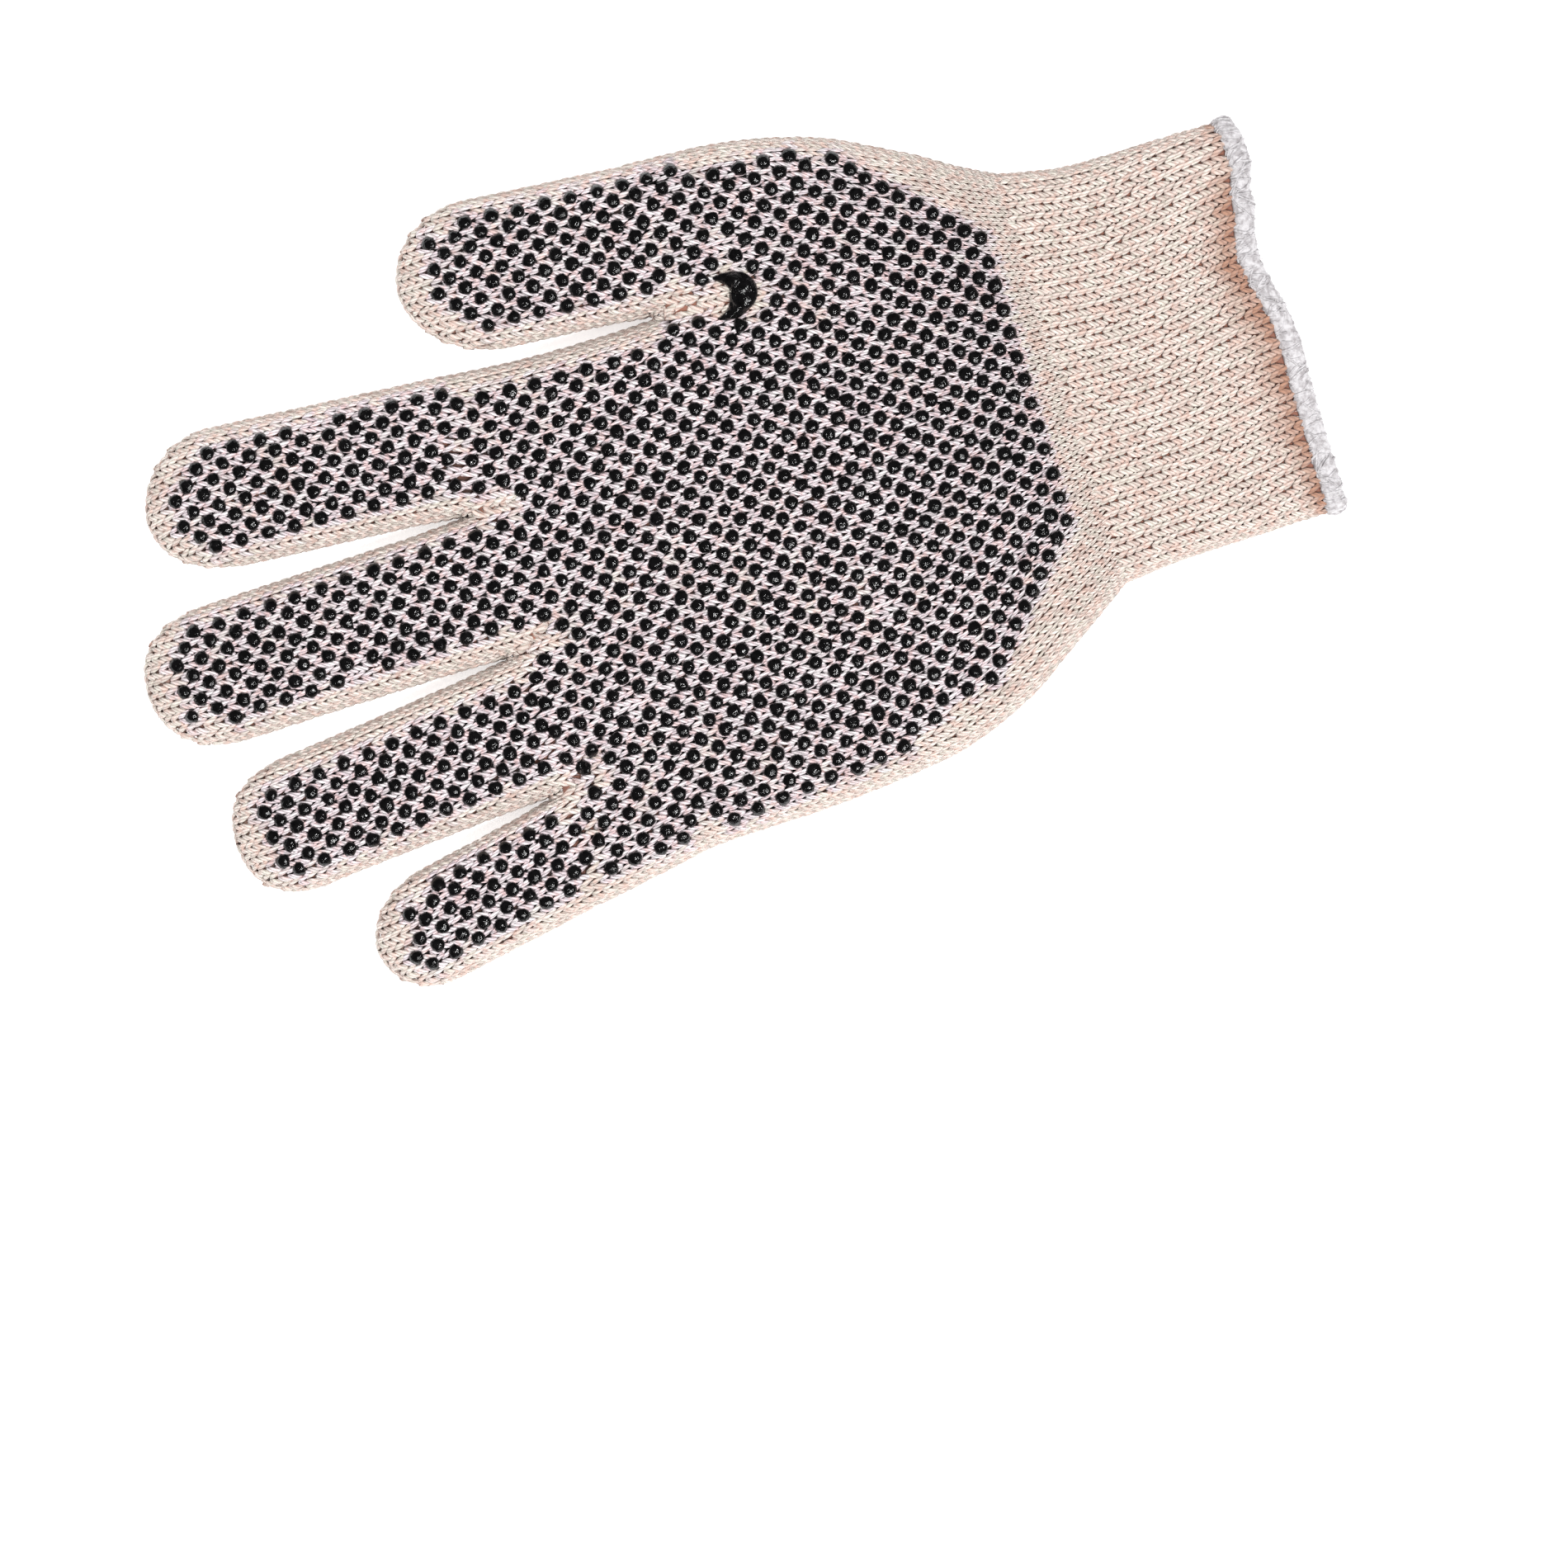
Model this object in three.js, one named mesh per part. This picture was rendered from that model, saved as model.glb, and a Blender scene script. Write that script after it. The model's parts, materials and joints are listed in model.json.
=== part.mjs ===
import * as THREE from 'three';

// A string-knit cotton work glove for the right hand, lying flat with its palm up.
// Millimetres. +Y runs from the cuff to the fingertips, +X to the thumb, +Z up out of the palm.
// Each knit piece is a flat tube: a level underside, rolled edges and a crowned upper face.

// Lengths along the hand.
const cuffLength = 46;
const thumbBodyLength = 72;
const knuckleBodyLength = 49;

// Widths across the hand, and how far each line's middle lies from the cuff's middle.
const cuffWidth = 82.4;
const wristWidth = 86.8;
const wristShift = 1;
const palmWidth = 104.9;
const palmShift = -15.2;
const knuckleShift = -16.5;

// Fabric and thicknesses.
const wall = 1.8;
const cuffHeight = 10.5;
const wristHeight = 10.8;
const palmHeight = 13.2;
const knuckleHeight = 11.6;
const thumbRootHeight = 12.4;
const stallHeight = 10.4;
const edgeRoll = 5.6;
const shoulder = 0.86;
const widestAt = 0.42;

// Ribs of the cuff, and the wave of its edge.
const ribPitch = 2.7;
const ribDepth = 0.55;
const edgeWave = 2.4;
const waveReach = 18;

// The roll of overlock thread on the cuff's edge.
const overlockWidth = 3.8;
const overlockThickness = 2.9;
const overlockSides = 8;

// The valleys between the fingers, which run on into the body.
const crotchDip = 3.6;
const dipReach = 26;
const crotchGap = 0.6;

// Finger stalls, from the index to the little finger, and the thumb. The lean is in degrees to the thumb's
// side, and the tip shift is how far the tip's middle stands off the leaning centre line.
const stallRows = [
  { name: 'index_finger', width: 28.6, endWidth: 29.0, length: 64, lean: 4.2, round: 18, power: 2, tipShift: -2.2 },
  { name: 'middle_finger', width: 29.0, endWidth: 28.7, length: 74.3, lean: -0.5, round: 18, power: 2.3, tipShift: 0.6 },
  { name: 'ring_finger', width: 28.6, endWidth: 26.9, length: 66.4, lean: -5.5, round: 15.5, power: 2.3, tipShift: 1 },
  { name: 'little_finger', width: 23.8, endWidth: 23.4, length: 45.6, lean: -10.8, round: 14.6, power: 2, tipShift: 0.6 },
];
const thumbRow = {
  name: 'thumb', width: 30.9, endWidth: 31.2, length: 50.8, lean: 4.3, round: 18.5, power: 1.95, tipShift: -0.5,
};
const tipHeight = 0.46;
const tipLift = 0.9;

// The printed crescent over the thumb's crotch.
const patchWidth = 9.8;
const patchLength = 10.2;
const patchThickness = 1.3;
const patchBelowCrotch = 14.4;

// The space that separate pieces keep.
const clearance = 0.3;

// The sections of the thumb body: share of its length, and how far each edge has flared from the wrist.
const flareRows = [
  { along: 0, little: 0, thumb: 0 },
  { along: 0.1, little: 0.19, thumb: 0.16 },
  { along: 0.2, little: 0.37, thumb: 0.35 },
  { along: 0.31, little: 0.58, thumb: 0.53 },
  { along: 0.42, little: 0.73, thumb: 0.7 },
  { along: 0.56, little: 0.87, thumb: 0.84 },
  { along: 0.72, little: 0.94, thumb: 0.94 },
  { along: 0.87, little: 0.98, thumb: 0.98 },
  { along: 1, little: 1, thumb: 1 },
];

// The sections of the knuckle body: share of its length, and of each edge's step out to the finger roots.
const knuckleRows = [
  { along: 0, little: 0, index: 0 },
  { along: 0.25, little: 0.02, index: -0.08 },
  { along: 0.48, little: 0.1, index: 0 },
  { along: 0.68, little: 0.45, index: 0.22 },
  { along: 0.86, little: 0.77, index: 0.63 },
  { along: 1, little: 1, index: 1 },
];

// The sections of the cuff: share of its length, and of each edge's step out to the wrist.
const cuffRows = [
  { along: 0, flare: 0 },
  { along: 0.2, flare: 0.04 },
  { along: 0.45, flare: 0.06 },
  { along: 0.74, flare: 0.25 },
  { along: 0.9, flare: 0.7 },
  { along: 1, flare: 1 },
];

// The wave of the cuff's edge: share of the width from the little finger's side, and of the wave's height.
const waveRows = [
  { across: 0, rise: 0.1 },
  { across: 0.22, rise: -0.15 },
  { across: 0.45, rise: 0.1 },
  { across: 0.64, rise: 1 },
  { across: 0.8, rise: 0 },
  { across: 0.92, rise: -0.85 },
  { across: 1, rise: -0.6 },
];

// The crescent's stations, from one horn to the other: shares of its width, length and thickness.
const patchRows = [
  { across: 0.47, along: 0.37, spread: 0.08, rise: 0.25 },
  { across: 0.38, along: 0.1, spread: 0.31, rise: 0.75 },
  { across: 0.23, along: -0.07, spread: 0.47, rise: 1 },
  { across: -0.02, along: -0.17, spread: 0.67, rise: 1 },
  { across: -0.23, along: -0.06, spread: 0.53, rise: 1 },
  { across: -0.38, along: 0.17, spread: 0.29, rise: 0.7 },
  { across: -0.45, along: 0.49, spread: 0.07, rise: 0.25 },
];

// Where an edge's roll, a stall's tip and a thread's turn take their points, as shares.
const rollSteps = [0, 0.12, 0.4, 0.75];
const tipSteps = [0, 0.4, 0.66, 0.84, 0.95, 0.99];
const shaftSteps = [0, 0.33, 0.66];
const pointsPerLobe = 3;

const cotton = new THREE.MeshStandardMaterial({ color: 0xe9dccb, roughness: 0.95, metalness: 0 });
const thread = new THREE.MeshStandardMaterial({ color: 0xe6e8ea, roughness: 0.9, metalness: 0 });
const rubber = new THREE.MeshStandardMaterial({ color: 0x141517, roughness: 0.3, metalness: 0 });

const wristY = cuffLength;
const thumbCrotchY = wristY + thumbBodyLength;
const fingerCrotchY = thumbCrotchY + knuckleBodyLength;
const palmRight = palmShift + palmWidth / 2;
const palmLeft = palmShift - palmWidth / 2;
const rootWidths = stallRows.map((row) => row.width);
const knuckleWidth = rootWidths.reduce((sum, width) => sum + width, 0) + crotchGap * (stallRows.length - 1);
const knuckleRight = knuckleShift + knuckleWidth / 2;
const knuckleLeft = knuckleShift - knuckleWidth / 2;
const thumbLeft = palmRight + crotchGap;
const thumbRight = thumbLeft + thumbRow.width;

function mix(from, to, share) {
  return from + (to - from) * share;
}

function smooth(share) {
  const held = Math.min(Math.max(share, 0), 1);
  return held * held * (3 - 2 * held);
}

// Stations across the flat of a tube, from its right to its left. Each lobe is one finger's breadth, and the
// line between two lobes is a valley.
function lobeStations(lobeWidths, roll) {
  const inner = lobeWidths.map((width, index) => {
    const edges = (index === 0 ? 1 : 0) + (index === lobeWidths.length - 1 ? 1 : 0);
    return width - edges * roll;
  });
  const total = inner.reduce((sum, width) => sum + width, 0);
  const stations = [{ share: 0, valley: 0 }];
  let start = 0;
  inner.forEach((width, index) => {
    for (let step = 1; step <= pointsPerLobe; step += 1) {
      const part = step / pointsPerLobe;
      const last = index === inner.length - 1;
      const valley = step === pointsPerLobe && !last ? 1 : 0;
      stations.push({ share: (start + part * width) / total, valley });
    }
    start += width;
  });
  return stations;
}

// One section of a flat tube as points [x, z], from the right edge over the top and back along the underside.
function flatSection({ left, right, bottom, top, stations, dip = 0, roll = edgeRoll }) {
  const bend = Math.min(roll, (right - left) * 0.42);
  const middle = mix(bottom, top, widestAt);
  const shoulderTop = mix(middle, top, shoulder);
  const over = [];
  const under = [];
  rollSteps.forEach((step) => {
    const swing = Math.sqrt(1 - (1 - step) ** 2);
    over.push([step * bend, mix(middle, shoulderTop, swing)]);
    under.push([step * bend, mix(middle, bottom, swing)]);
  });
  const flat = right - left - 2 * bend;
  const topFlat = stations.map(({ share, valley }) => {
    const crown = 1 - (2 * share - 1) ** 2;
    return [right - bend - share * flat, mix(shoulderTop, top, crown) - valley * dip];
  });
  const underFlat = topFlat.map(([x]) => [x, bottom]).reverse();
  return [
    ...over.map(([inward, z]) => [right - inward, z]),
    ...topFlat,
    ...over.map(([inward, z]) => [left + inward, z]).reverse(),
    ...under.slice(1).map(([inward, z]) => [left + inward, z]),
    ...underFlat,
    ...under.slice(1).map(([inward, z]) => [right - inward, z]).reverse(),
  ];
}

// The same loop with a chosen number of points, evenly spaced round it.
function respace(loop, count) {
  const lengths = [0];
  loop.forEach(([x, z], index) => {
    const [nextX, nextZ] = loop[(index + 1) % loop.length];
    lengths.push(lengths[index] + Math.hypot(nextX - x, nextZ - z));
  });
  const total = lengths[loop.length];
  const spaced = [];
  let piece = 0;
  for (let index = 0; index < count; index += 1) {
    const goal = (total * index) / count;
    while (lengths[piece + 1] < goal) {
      piece += 1;
    }
    const share = (goal - lengths[piece]) / (lengths[piece + 1] - lengths[piece]);
    const [x, z] = loop[piece];
    const [nextX, nextZ] = loop[(piece + 1) % loop.length];
    spaced.push([mix(x, nextX, share), mix(z, nextZ, share)]);
  }
  return spaced;
}

// The unit direction out of a loop at one of its points.
function outward(loop, index) {
  const [beforeX, beforeZ] = loop[(index + loop.length - 1) % loop.length];
  const [afterX, afterZ] = loop[(index + 1) % loop.length];
  const length = Math.hypot(afterX - beforeX, afterZ - beforeZ);
  return [(afterZ - beforeZ) / length, -(afterX - beforeX) / length];
}

function atLevel(loop, y) {
  return loop.map(([x, z]) => new THREE.Vector3(x, y, z));
}

// A closed body from an outer and an inner skin, each a list of rings with as many points. Both mouths are
// rims. Where the skins close at a tip, each ends in its own tip point.
function knitShell(outer, inner, tips) {
  const points = [...outer.flat(), ...inner.flat()];
  const count = outer[0].length;
  const innerStart = outer.length * count;
  const faces = [];
  const quad = (a, b, c, d) => faces.push(a, b, c, a, c, d);
  const skin = (rings, start, inside) => {
    for (let ring = 0; ring + 1 < rings; ring += 1) {
      for (let side = 0; side < count; side += 1) {
        const next = (side + 1) % count;
        const low = start + ring * count;
        const high = low + count;
        if (inside) {
          quad(low + side, low + next, high + next, high + side);
        } else {
          quad(low + side, high + side, high + next, low + next);
        }
      }
    }
  };
  skin(outer.length, 0, false);
  skin(inner.length, innerStart, true);
  for (let side = 0; side < count; side += 1) {
    const next = (side + 1) % count;
    quad(side, next, innerStart + next, innerStart + side);
  }
  const outerEnd = (outer.length - 1) * count;
  const innerEnd = innerStart + (inner.length - 1) * count;
  if (tips) {
    const outerTip = points.push(tips.outer) - 1;
    const innerTip = points.push(tips.inner) - 1;
    for (let side = 0; side < count; side += 1) {
      const next = (side + 1) % count;
      faces.push(outerEnd + side, outerTip, outerEnd + next);
      faces.push(innerEnd + side, innerEnd + next, innerTip);
    }
  } else {
    for (let side = 0; side < count; side += 1) {
      const next = (side + 1) % count;
      quad(outerEnd + side, innerEnd + side, innerEnd + next, outerEnd + next);
    }
  }
  return bodyOf(points, faces);
}

function bodyOf(points, faces) {
  const geometry = new THREE.BufferGeometry();
  geometry.setFromPoints(points);
  geometry.setIndex(faces);
  geometry.computeVertexNormals();
  return geometry;
}

function addPiece(parent, name, geometry, material) {
  const mesh = new THREE.Mesh(geometry, material);
  mesh.name = name;
  parent.add(mesh);
  return mesh;
}

// The edge of the cuff rises and falls along its width, and the wave dies away up the cuff.
function waveAt(share) {
  const index = waveRows.findIndex((row) => row.across >= share);
  const after = waveRows[Math.max(index, 1)];
  const before = waveRows[Math.max(index, 1) - 1];
  const part = smooth((share - before.across) / (after.across - before.across));
  return edgeWave * mix(before.rise, after.rise, part);
}

function waved(loop, y) {
  const fade = 1 - smooth(y / waveReach);
  return loop.map(([x, z]) => {
    const share = Math.min(Math.max((x + cuffWidth / 2) / cuffWidth, 0), 1);
    return new THREE.Vector3(x, y + fade * waveAt(share), z);
  });
}

function cuffSection(row, inset) {
  return {
    left: mix(-cuffWidth / 2, wristShift - wristWidth / 2, row.flare) + inset,
    right: mix(cuffWidth / 2, wristShift + wristWidth / 2, row.flare) - inset,
    bottom: inset,
    top: mix(cuffHeight, wristHeight, row.flare) - inset,
    stations: lobeStations([1, 1, 1, 1], 0),
  };
}

const ribCount = 2 * Math.round(cuffWidth / ribPitch);
const cuffStart = overlockWidth + clearance;

// Every second point of the cuff's outer loop lies in the groove between two ribs.
function ribbedLoop(loop) {
  return loop.map(([x, z], index) => {
    const [outX, outZ] = outward(loop, index);
    const groove = index % 2 === 1 ? ribDepth : 0;
    return [x - outX * groove, z - outZ * groove];
  });
}

function makeCuff() {
  const outer = [];
  const inner = [];
  const end = wristY - clearance;
  cuffRows.forEach((row) => {
    const y = mix(cuffStart, end, row.along);
    const outerLoop = respace(flatSection(cuffSection(row, 0)), 2 * ribCount);
    const innerLoop = respace(flatSection(cuffSection(row, wall)), 2 * ribCount);
    outer.push(waved(ribbedLoop(outerLoop), y));
    inner.push(waved(innerLoop, y));
  });
  return knitShell(outer, inner);
}

// The thread roll follows the middle of the cuff's wall, and lies flat where it touches the ground.
function makeOverlock() {
  const loop = respace(flatSection(cuffSection(cuffRows[0], wall / 2)), ribCount);
  const path = waved(loop, 0);
  const points = [];
  const faces = [];
  path.forEach((centre, index) => {
    const [outX, outZ] = outward(loop, index);
    for (let side = 0; side < overlockSides; side += 1) {
      const angle = (2 * Math.PI * (side + 0.5)) / overlockSides;
      const reach = (Math.cos(angle) * overlockThickness) / 2;
      const along = (Math.sin(angle) * overlockWidth) / 2;
      const y = centre.y + overlockWidth / 2 + along;
      points.push(new THREE.Vector3(centre.x + outX * reach, y, Math.max(centre.z + outZ * reach, 0)));
    }
  });
  for (let index = 0; index < path.length; index += 1) {
    const next = (index + 1) % path.length;
    for (let side = 0; side < overlockSides; side += 1) {
      const turn = (side + 1) % overlockSides;
      const a = index * overlockSides + side;
      const b = index * overlockSides + turn;
      const c = next * overlockSides + turn;
      const d = next * overlockSides + side;
      faces.push(a, b, c, a, c, d);
    }
  }
  return bodyOf(points, faces);
}

// How deep a crotch's valley is at a level, from nothing to its full dip at the crotch line.
function dipAt(y, crotchY) {
  return crotchDip * smooth(1 - (crotchY - y) / dipReach);
}

function makeThumbBody() {
  const fingerLobes = rootWidths.map((width) => (width / knuckleWidth) * palmWidth);
  const stations = lobeStations([thumbRow.width, ...fingerLobes], edgeRoll);
  const thumbValley = pointsPerLobe;
  stations.forEach((station, index) => {
    station.valley = index === thumbValley ? 1 : 0;
  });
  const sections = (inset) => flareRows.map((row) => {
    const y = mix(wristY, thumbCrotchY - clearance, row.along);
    const loop = flatSection({
      left: mix(wristShift - wristWidth / 2, palmLeft, row.little) + inset,
      right: mix(wristShift + wristWidth / 2, thumbRight, row.thumb) - inset,
      bottom: inset,
      top: mix(wristHeight, palmHeight, smooth(row.along)) - inset,
      dip: dipAt(y, thumbCrotchY),
      stations,
    });
    return atLevel(loop, y);
  });
  return knitShell(sections(0), sections(wall));
}

function makeKnuckleBody() {
  const stations = lobeStations(rootWidths, edgeRoll);
  const sections = (inset) => knuckleRows.map((row) => {
    const y = mix(thumbCrotchY, fingerCrotchY - clearance, row.along);
    const loop = flatSection({
      left: mix(palmLeft, knuckleLeft, row.little) + inset,
      right: mix(palmRight, knuckleRight, row.index) - inset,
      bottom: inset,
      top: mix(palmHeight, knuckleHeight, smooth(row.along)) - inset,
      dip: dipAt(y, fingerCrotchY),
      stations,
    });
    return atLevel(loop, y);
  });
  return knitShell(sections(0), sections(wall));
}

// A stall keeps its width along the shaft and closes in a round tip, which also thins and lifts off the ground.
function makeStall(row, rightEdge, rootY, rootHeight) {
  const stations = lobeStations([row.width], edgeRoll);
  const rootCentre = rightEdge - row.width / 2;
  const slope = Math.tan((row.lean * Math.PI) / 180);
  const skin = (inset) => {
    const length = row.length - inset;
    const round = row.round - inset;
    const steps = [
      ...shaftSteps.map((step) => ({ y: step * (length - round), tip: 0 })),
      ...tipSteps.map((tip) => ({ y: length - round + tip * round, tip })),
    ];
    return steps.map(({ y, tip }) => {
      const fullness = (1 - tip ** row.power) ** (1 / row.power);
      const breadth = mix(row.width, row.endWidth, smooth(y / (length - round)));
      const half = (breadth / 2 - inset) * fullness;
      const height = mix(rootHeight, stallHeight, smooth(y / (length - round)));
      const centre = rootCentre + slope * y + row.tipShift * tip ** 2;
      const loop = flatSection({
        left: centre - half,
        right: centre + half,
        bottom: tipLift * (1 - fullness) + inset,
        top: height * mix(tipHeight, 1, fullness) - inset,
        stations,
      });
      return atLevel(loop, rootY + y);
    });
  };
  const tipPoint = (inset) => {
    const y = row.length - inset;
    const z = mix(tipLift, stallHeight * tipHeight, 0.5);
    return new THREE.Vector3(rootCentre + slope * y + row.tipShift, rootY + y, z);
  };
  return knitShell(skin(0), skin(wall), { outer: tipPoint(0), inner: tipPoint(wall) });
}

// The crescent lies on the thumb body's upper face, whose height is found by a ray from above.
function makePatch(body) {
  const ray = new THREE.Raycaster();
  const down = new THREE.Vector3(0, 0, -1);
  const groundAt = (x, y) => {
    ray.set(new THREE.Vector3(x, y, 2 * palmHeight), down);
    return ray.intersectObject(body)[0].point.z + clearance;
  };
  const centreX = palmRight + crotchGap / 2;
  const centreY = thumbCrotchY - patchBelowCrotch;
  const spine = patchRows.map((row) => ({
    x: centreX + row.across * patchWidth,
    y: centreY + row.along * patchLength,
    half: (row.spread * patchWidth) / 2,
    rise: row.rise * patchThickness,
  }));
  const brim = 0.2;
  const spread = [-1, -0.6, 0, 0.6, 1];
  const points = [];
  spine.forEach((station, index) => {
    const before = spine[Math.max(index - 1, 0)];
    const after = spine[Math.min(index + 1, spine.length - 1)];
    const length = Math.hypot(after.x - before.x, after.y - before.y);
    const sideX = (after.y - before.y) / length;
    const sideY = -(after.x - before.x) / length;
    spread.forEach((offset) => {
      const x = station.x + sideX * offset * station.half;
      const y = station.y + sideY * offset * station.half;
      const z = groundAt(x, y) + brim + station.rise * (1 - offset ** 2);
      points.push(new THREE.Vector3(x, y, z));
    });
    [1, 0, -1].forEach((offset) => {
      const x = station.x + sideX * offset * station.half;
      const y = station.y + sideY * offset * station.half;
      points.push(new THREE.Vector3(x, y, groundAt(x, y)));
    });
  });
  const ring = spread.length + 3;
  const faces = [];
  for (let index = 0; index + 1 < spine.length; index += 1) {
    for (let side = 0; side < ring; side += 1) {
      const turn = (side + 1) % ring;
      const a = index * ring + side;
      const b = index * ring + turn;
      const c = (index + 1) * ring + turn;
      const d = (index + 1) * ring + side;
      faces.push(a, b, c, a, c, d);
    }
  }
  const last = (spine.length - 1) * ring;
  for (let side = 1; side + 1 < ring; side += 1) {
    faces.push(0, side + 1, side);
    faces.push(last, last + side, last + side + 1);
  }
  return bodyOf(points, faces);
}

const glove = new THREE.Group();
addPiece(glove, 'cuff_overlock', makeOverlock(), thread);
addPiece(glove, 'cuff', makeCuff(), cotton);
const thumbBody = addPiece(glove, 'thumb_body', makeThumbBody(), cotton);
addPiece(glove, 'knuckle_body', makeKnuckleBody(), cotton);
addPiece(glove, 'thumb', makeStall(thumbRow, thumbRight, thumbCrotchY, thumbRootHeight), cotton);
let rootRight = knuckleRight;
stallRows.forEach((row) => {
  addPiece(glove, row.name, makeStall(row, rootRight, fingerCrotchY, knuckleHeight), cotton);
  rootRight -= row.width + crotchGap;
});
addPiece(glove, 'thumb_crotch_patch', makePatch(thumbBody), rubber);

// The origin is on the ground under the middle of the glove's box.
const extent = new THREE.Box3().setFromObject(glove);
const middle = extent.getCenter(new THREE.Vector3());
glove.position.set(-middle.x, -middle.y, -extent.min.z);

export default glove;
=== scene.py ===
import json
import math

import bpy
import numpy as np
from mathutils import Matrix, Vector

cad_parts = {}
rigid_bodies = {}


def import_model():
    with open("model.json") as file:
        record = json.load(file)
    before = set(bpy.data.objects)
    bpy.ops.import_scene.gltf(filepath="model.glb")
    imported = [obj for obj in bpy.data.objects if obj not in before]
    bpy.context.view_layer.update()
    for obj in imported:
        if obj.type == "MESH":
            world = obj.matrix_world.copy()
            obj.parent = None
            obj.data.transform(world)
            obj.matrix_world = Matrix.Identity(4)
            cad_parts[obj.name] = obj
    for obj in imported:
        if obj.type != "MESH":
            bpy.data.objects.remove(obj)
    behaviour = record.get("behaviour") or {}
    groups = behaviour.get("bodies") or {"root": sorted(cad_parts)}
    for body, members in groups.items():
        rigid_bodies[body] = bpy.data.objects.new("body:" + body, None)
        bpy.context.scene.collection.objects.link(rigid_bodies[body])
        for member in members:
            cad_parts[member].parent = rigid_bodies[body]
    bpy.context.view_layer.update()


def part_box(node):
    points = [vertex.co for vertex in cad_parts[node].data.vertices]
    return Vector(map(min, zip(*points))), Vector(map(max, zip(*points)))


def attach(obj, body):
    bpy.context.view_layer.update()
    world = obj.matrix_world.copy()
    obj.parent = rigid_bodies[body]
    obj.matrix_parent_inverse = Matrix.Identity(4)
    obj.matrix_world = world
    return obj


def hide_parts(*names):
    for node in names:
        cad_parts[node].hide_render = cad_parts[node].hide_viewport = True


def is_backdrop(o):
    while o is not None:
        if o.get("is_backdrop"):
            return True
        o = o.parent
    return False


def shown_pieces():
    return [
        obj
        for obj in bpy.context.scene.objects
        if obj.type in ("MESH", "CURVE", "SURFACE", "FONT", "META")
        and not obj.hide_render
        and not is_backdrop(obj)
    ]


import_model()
scene = bpy.context.scene
dice = np.random.default_rng(7)

# A string-knit work glove, flat on its back with the palm up.
# Everything below is in millimetres in the glove's own axes: x to the thumb, y from the cuff's edge to the
# fingertips, z up out of the palm. makePiece turns it into metres in the frame's axes.

# Camera
# It looks straight down. The photo's right is turned from the glove's x, and the frame is this wide.
photo = {
    "turn": -107.5,
    "width": 315.8,
    "centre": (-60.25, 124.1),
    "distance": 1500,
    "level": 9,
    "sensor": 36,
}

cuffLength = 46


def boxOf(node):
    low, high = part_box(node)
    return np.array(low) * 1000, np.array(high) * 1000


overlockBox = boxOf("cuff_overlock")
thumbBodyBox = boxOf("thumb_body")
knuckleBox = boxOf("knuckle_body")
shift = np.array([
    (overlockBox[0][0] + overlockBox[1][0]) / 2,
    thumbBodyBox[0][1] - cuffLength,
    0.0,
])

wristY = cuffLength
thumbCrotchY = knuckleBox[0][1] - shift[1]
fingerCrotchY = boxOf("index_finger")[0][1] - shift[1]


def makeCamera():
    data = bpy.data.cameras.new("photoCamera")
    data.sensor_width = photo["sensor"]
    data.lens = photo["sensor"] * photo["distance"] / photo["width"]
    data.clip_start = 0.01
    data.clip_end = 20
    camera = bpy.data.objects.new("photoCamera", data)
    scene.collection.objects.link(camera)
    x, y = np.array(photo["centre"]) + shift[:2]
    camera.location = (x / 1000, y / 1000, (photo["distance"] + photo["level"]) / 1000)
    camera.rotation_euler = (0, 0, math.radians(photo["turn"]))
    scene.camera = camera
    print("camera", round(data.lens, 1))


makeCamera()


# Small tools
def mix(a, b, share):
    return a + (b - a) * share


def smooth(share):
    held = np.clip(share, 0, 1)
    return held * held * (3 - 2 * held)


def unit(way):
    return way / (np.linalg.norm(way, axis=-1, keepdims=True) + 1e-9)


def walk(line):
    # the run along a line of points, and what finds the point at any run
    run = np.concatenate([[0], np.cumsum(np.linalg.norm(np.diff(line, axis=0), axis=1))])
    return run, lambda at: np.stack([np.interp(at, run, values) for values in line.T], -1)


def lineThrough(rows, column, at):
    # a smooth curve through one column of a table
    stops = np.array([row[0] for row in rows], float)
    values = np.array([row[column] for row in rows], float)
    slopes = np.gradient(values, stops)
    at = np.clip(at, stops[0], stops[-1])
    k = np.clip(np.searchsorted(stops, at) - 1, 0, len(stops) - 2)
    span = stops[k + 1] - stops[k]
    t = (at - stops[k]) / span
    start = values[k] * (1 + 2 * t) * (1 - t) ** 2 + slopes[k] * span * t * (1 - t) ** 2
    end = values[k + 1] * t * t * (3 - 2 * t) + slopes[k + 1] * span * t * t * (t - 1)
    return start + end


def makePiece(name, points, loops, sizes, material, nodes=(), knit=None, strand=None):
    # points in glove millimetres; loops and sizes are the faces' corners and how many each has
    mesh = bpy.data.meshes.new(name)
    starts = np.concatenate([[0], np.cumsum(sizes)[:-1]])
    mesh.vertices.add(len(points))
    mesh.vertices.foreach_set("co", ((points + shift) / 1000).astype(np.float32).ravel())
    mesh.loops.add(len(loops))
    mesh.loops.foreach_set("vertex_index", loops.astype(np.int32))
    mesh.polygons.add(len(sizes))
    mesh.polygons.foreach_set("loop_start", starts.astype(np.int32))
    mesh.polygons.foreach_set("use_smooth", np.ones(len(sizes), bool))
    if knit is not None:
        # red: the yarn's own tone, green: inside the field of dots, blue: how deep it lies, for painted
        # shade, alpha: the tan band with its painted shade
        layer = mesh.attributes.new("knit", "FLOAT_COLOR", "POINT")
        layer.data.foreach_set("color", knit.astype(np.float32).ravel())
    mesh.update(calc_edges=True)
    if strand is not None:
        # where each corner lies round and along its yarn
        layer = mesh.uv_layers.new(name="strand")
        layer.data.foreach_set("uv", strand.astype(np.float32).ravel())
    mesh.materials.append(material)
    piece = bpy.data.objects.new(name, mesh)
    scene.collection.objects.link(piece)
    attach(piece, "root")
    if nodes:
        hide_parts(*nodes)
    return piece


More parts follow.
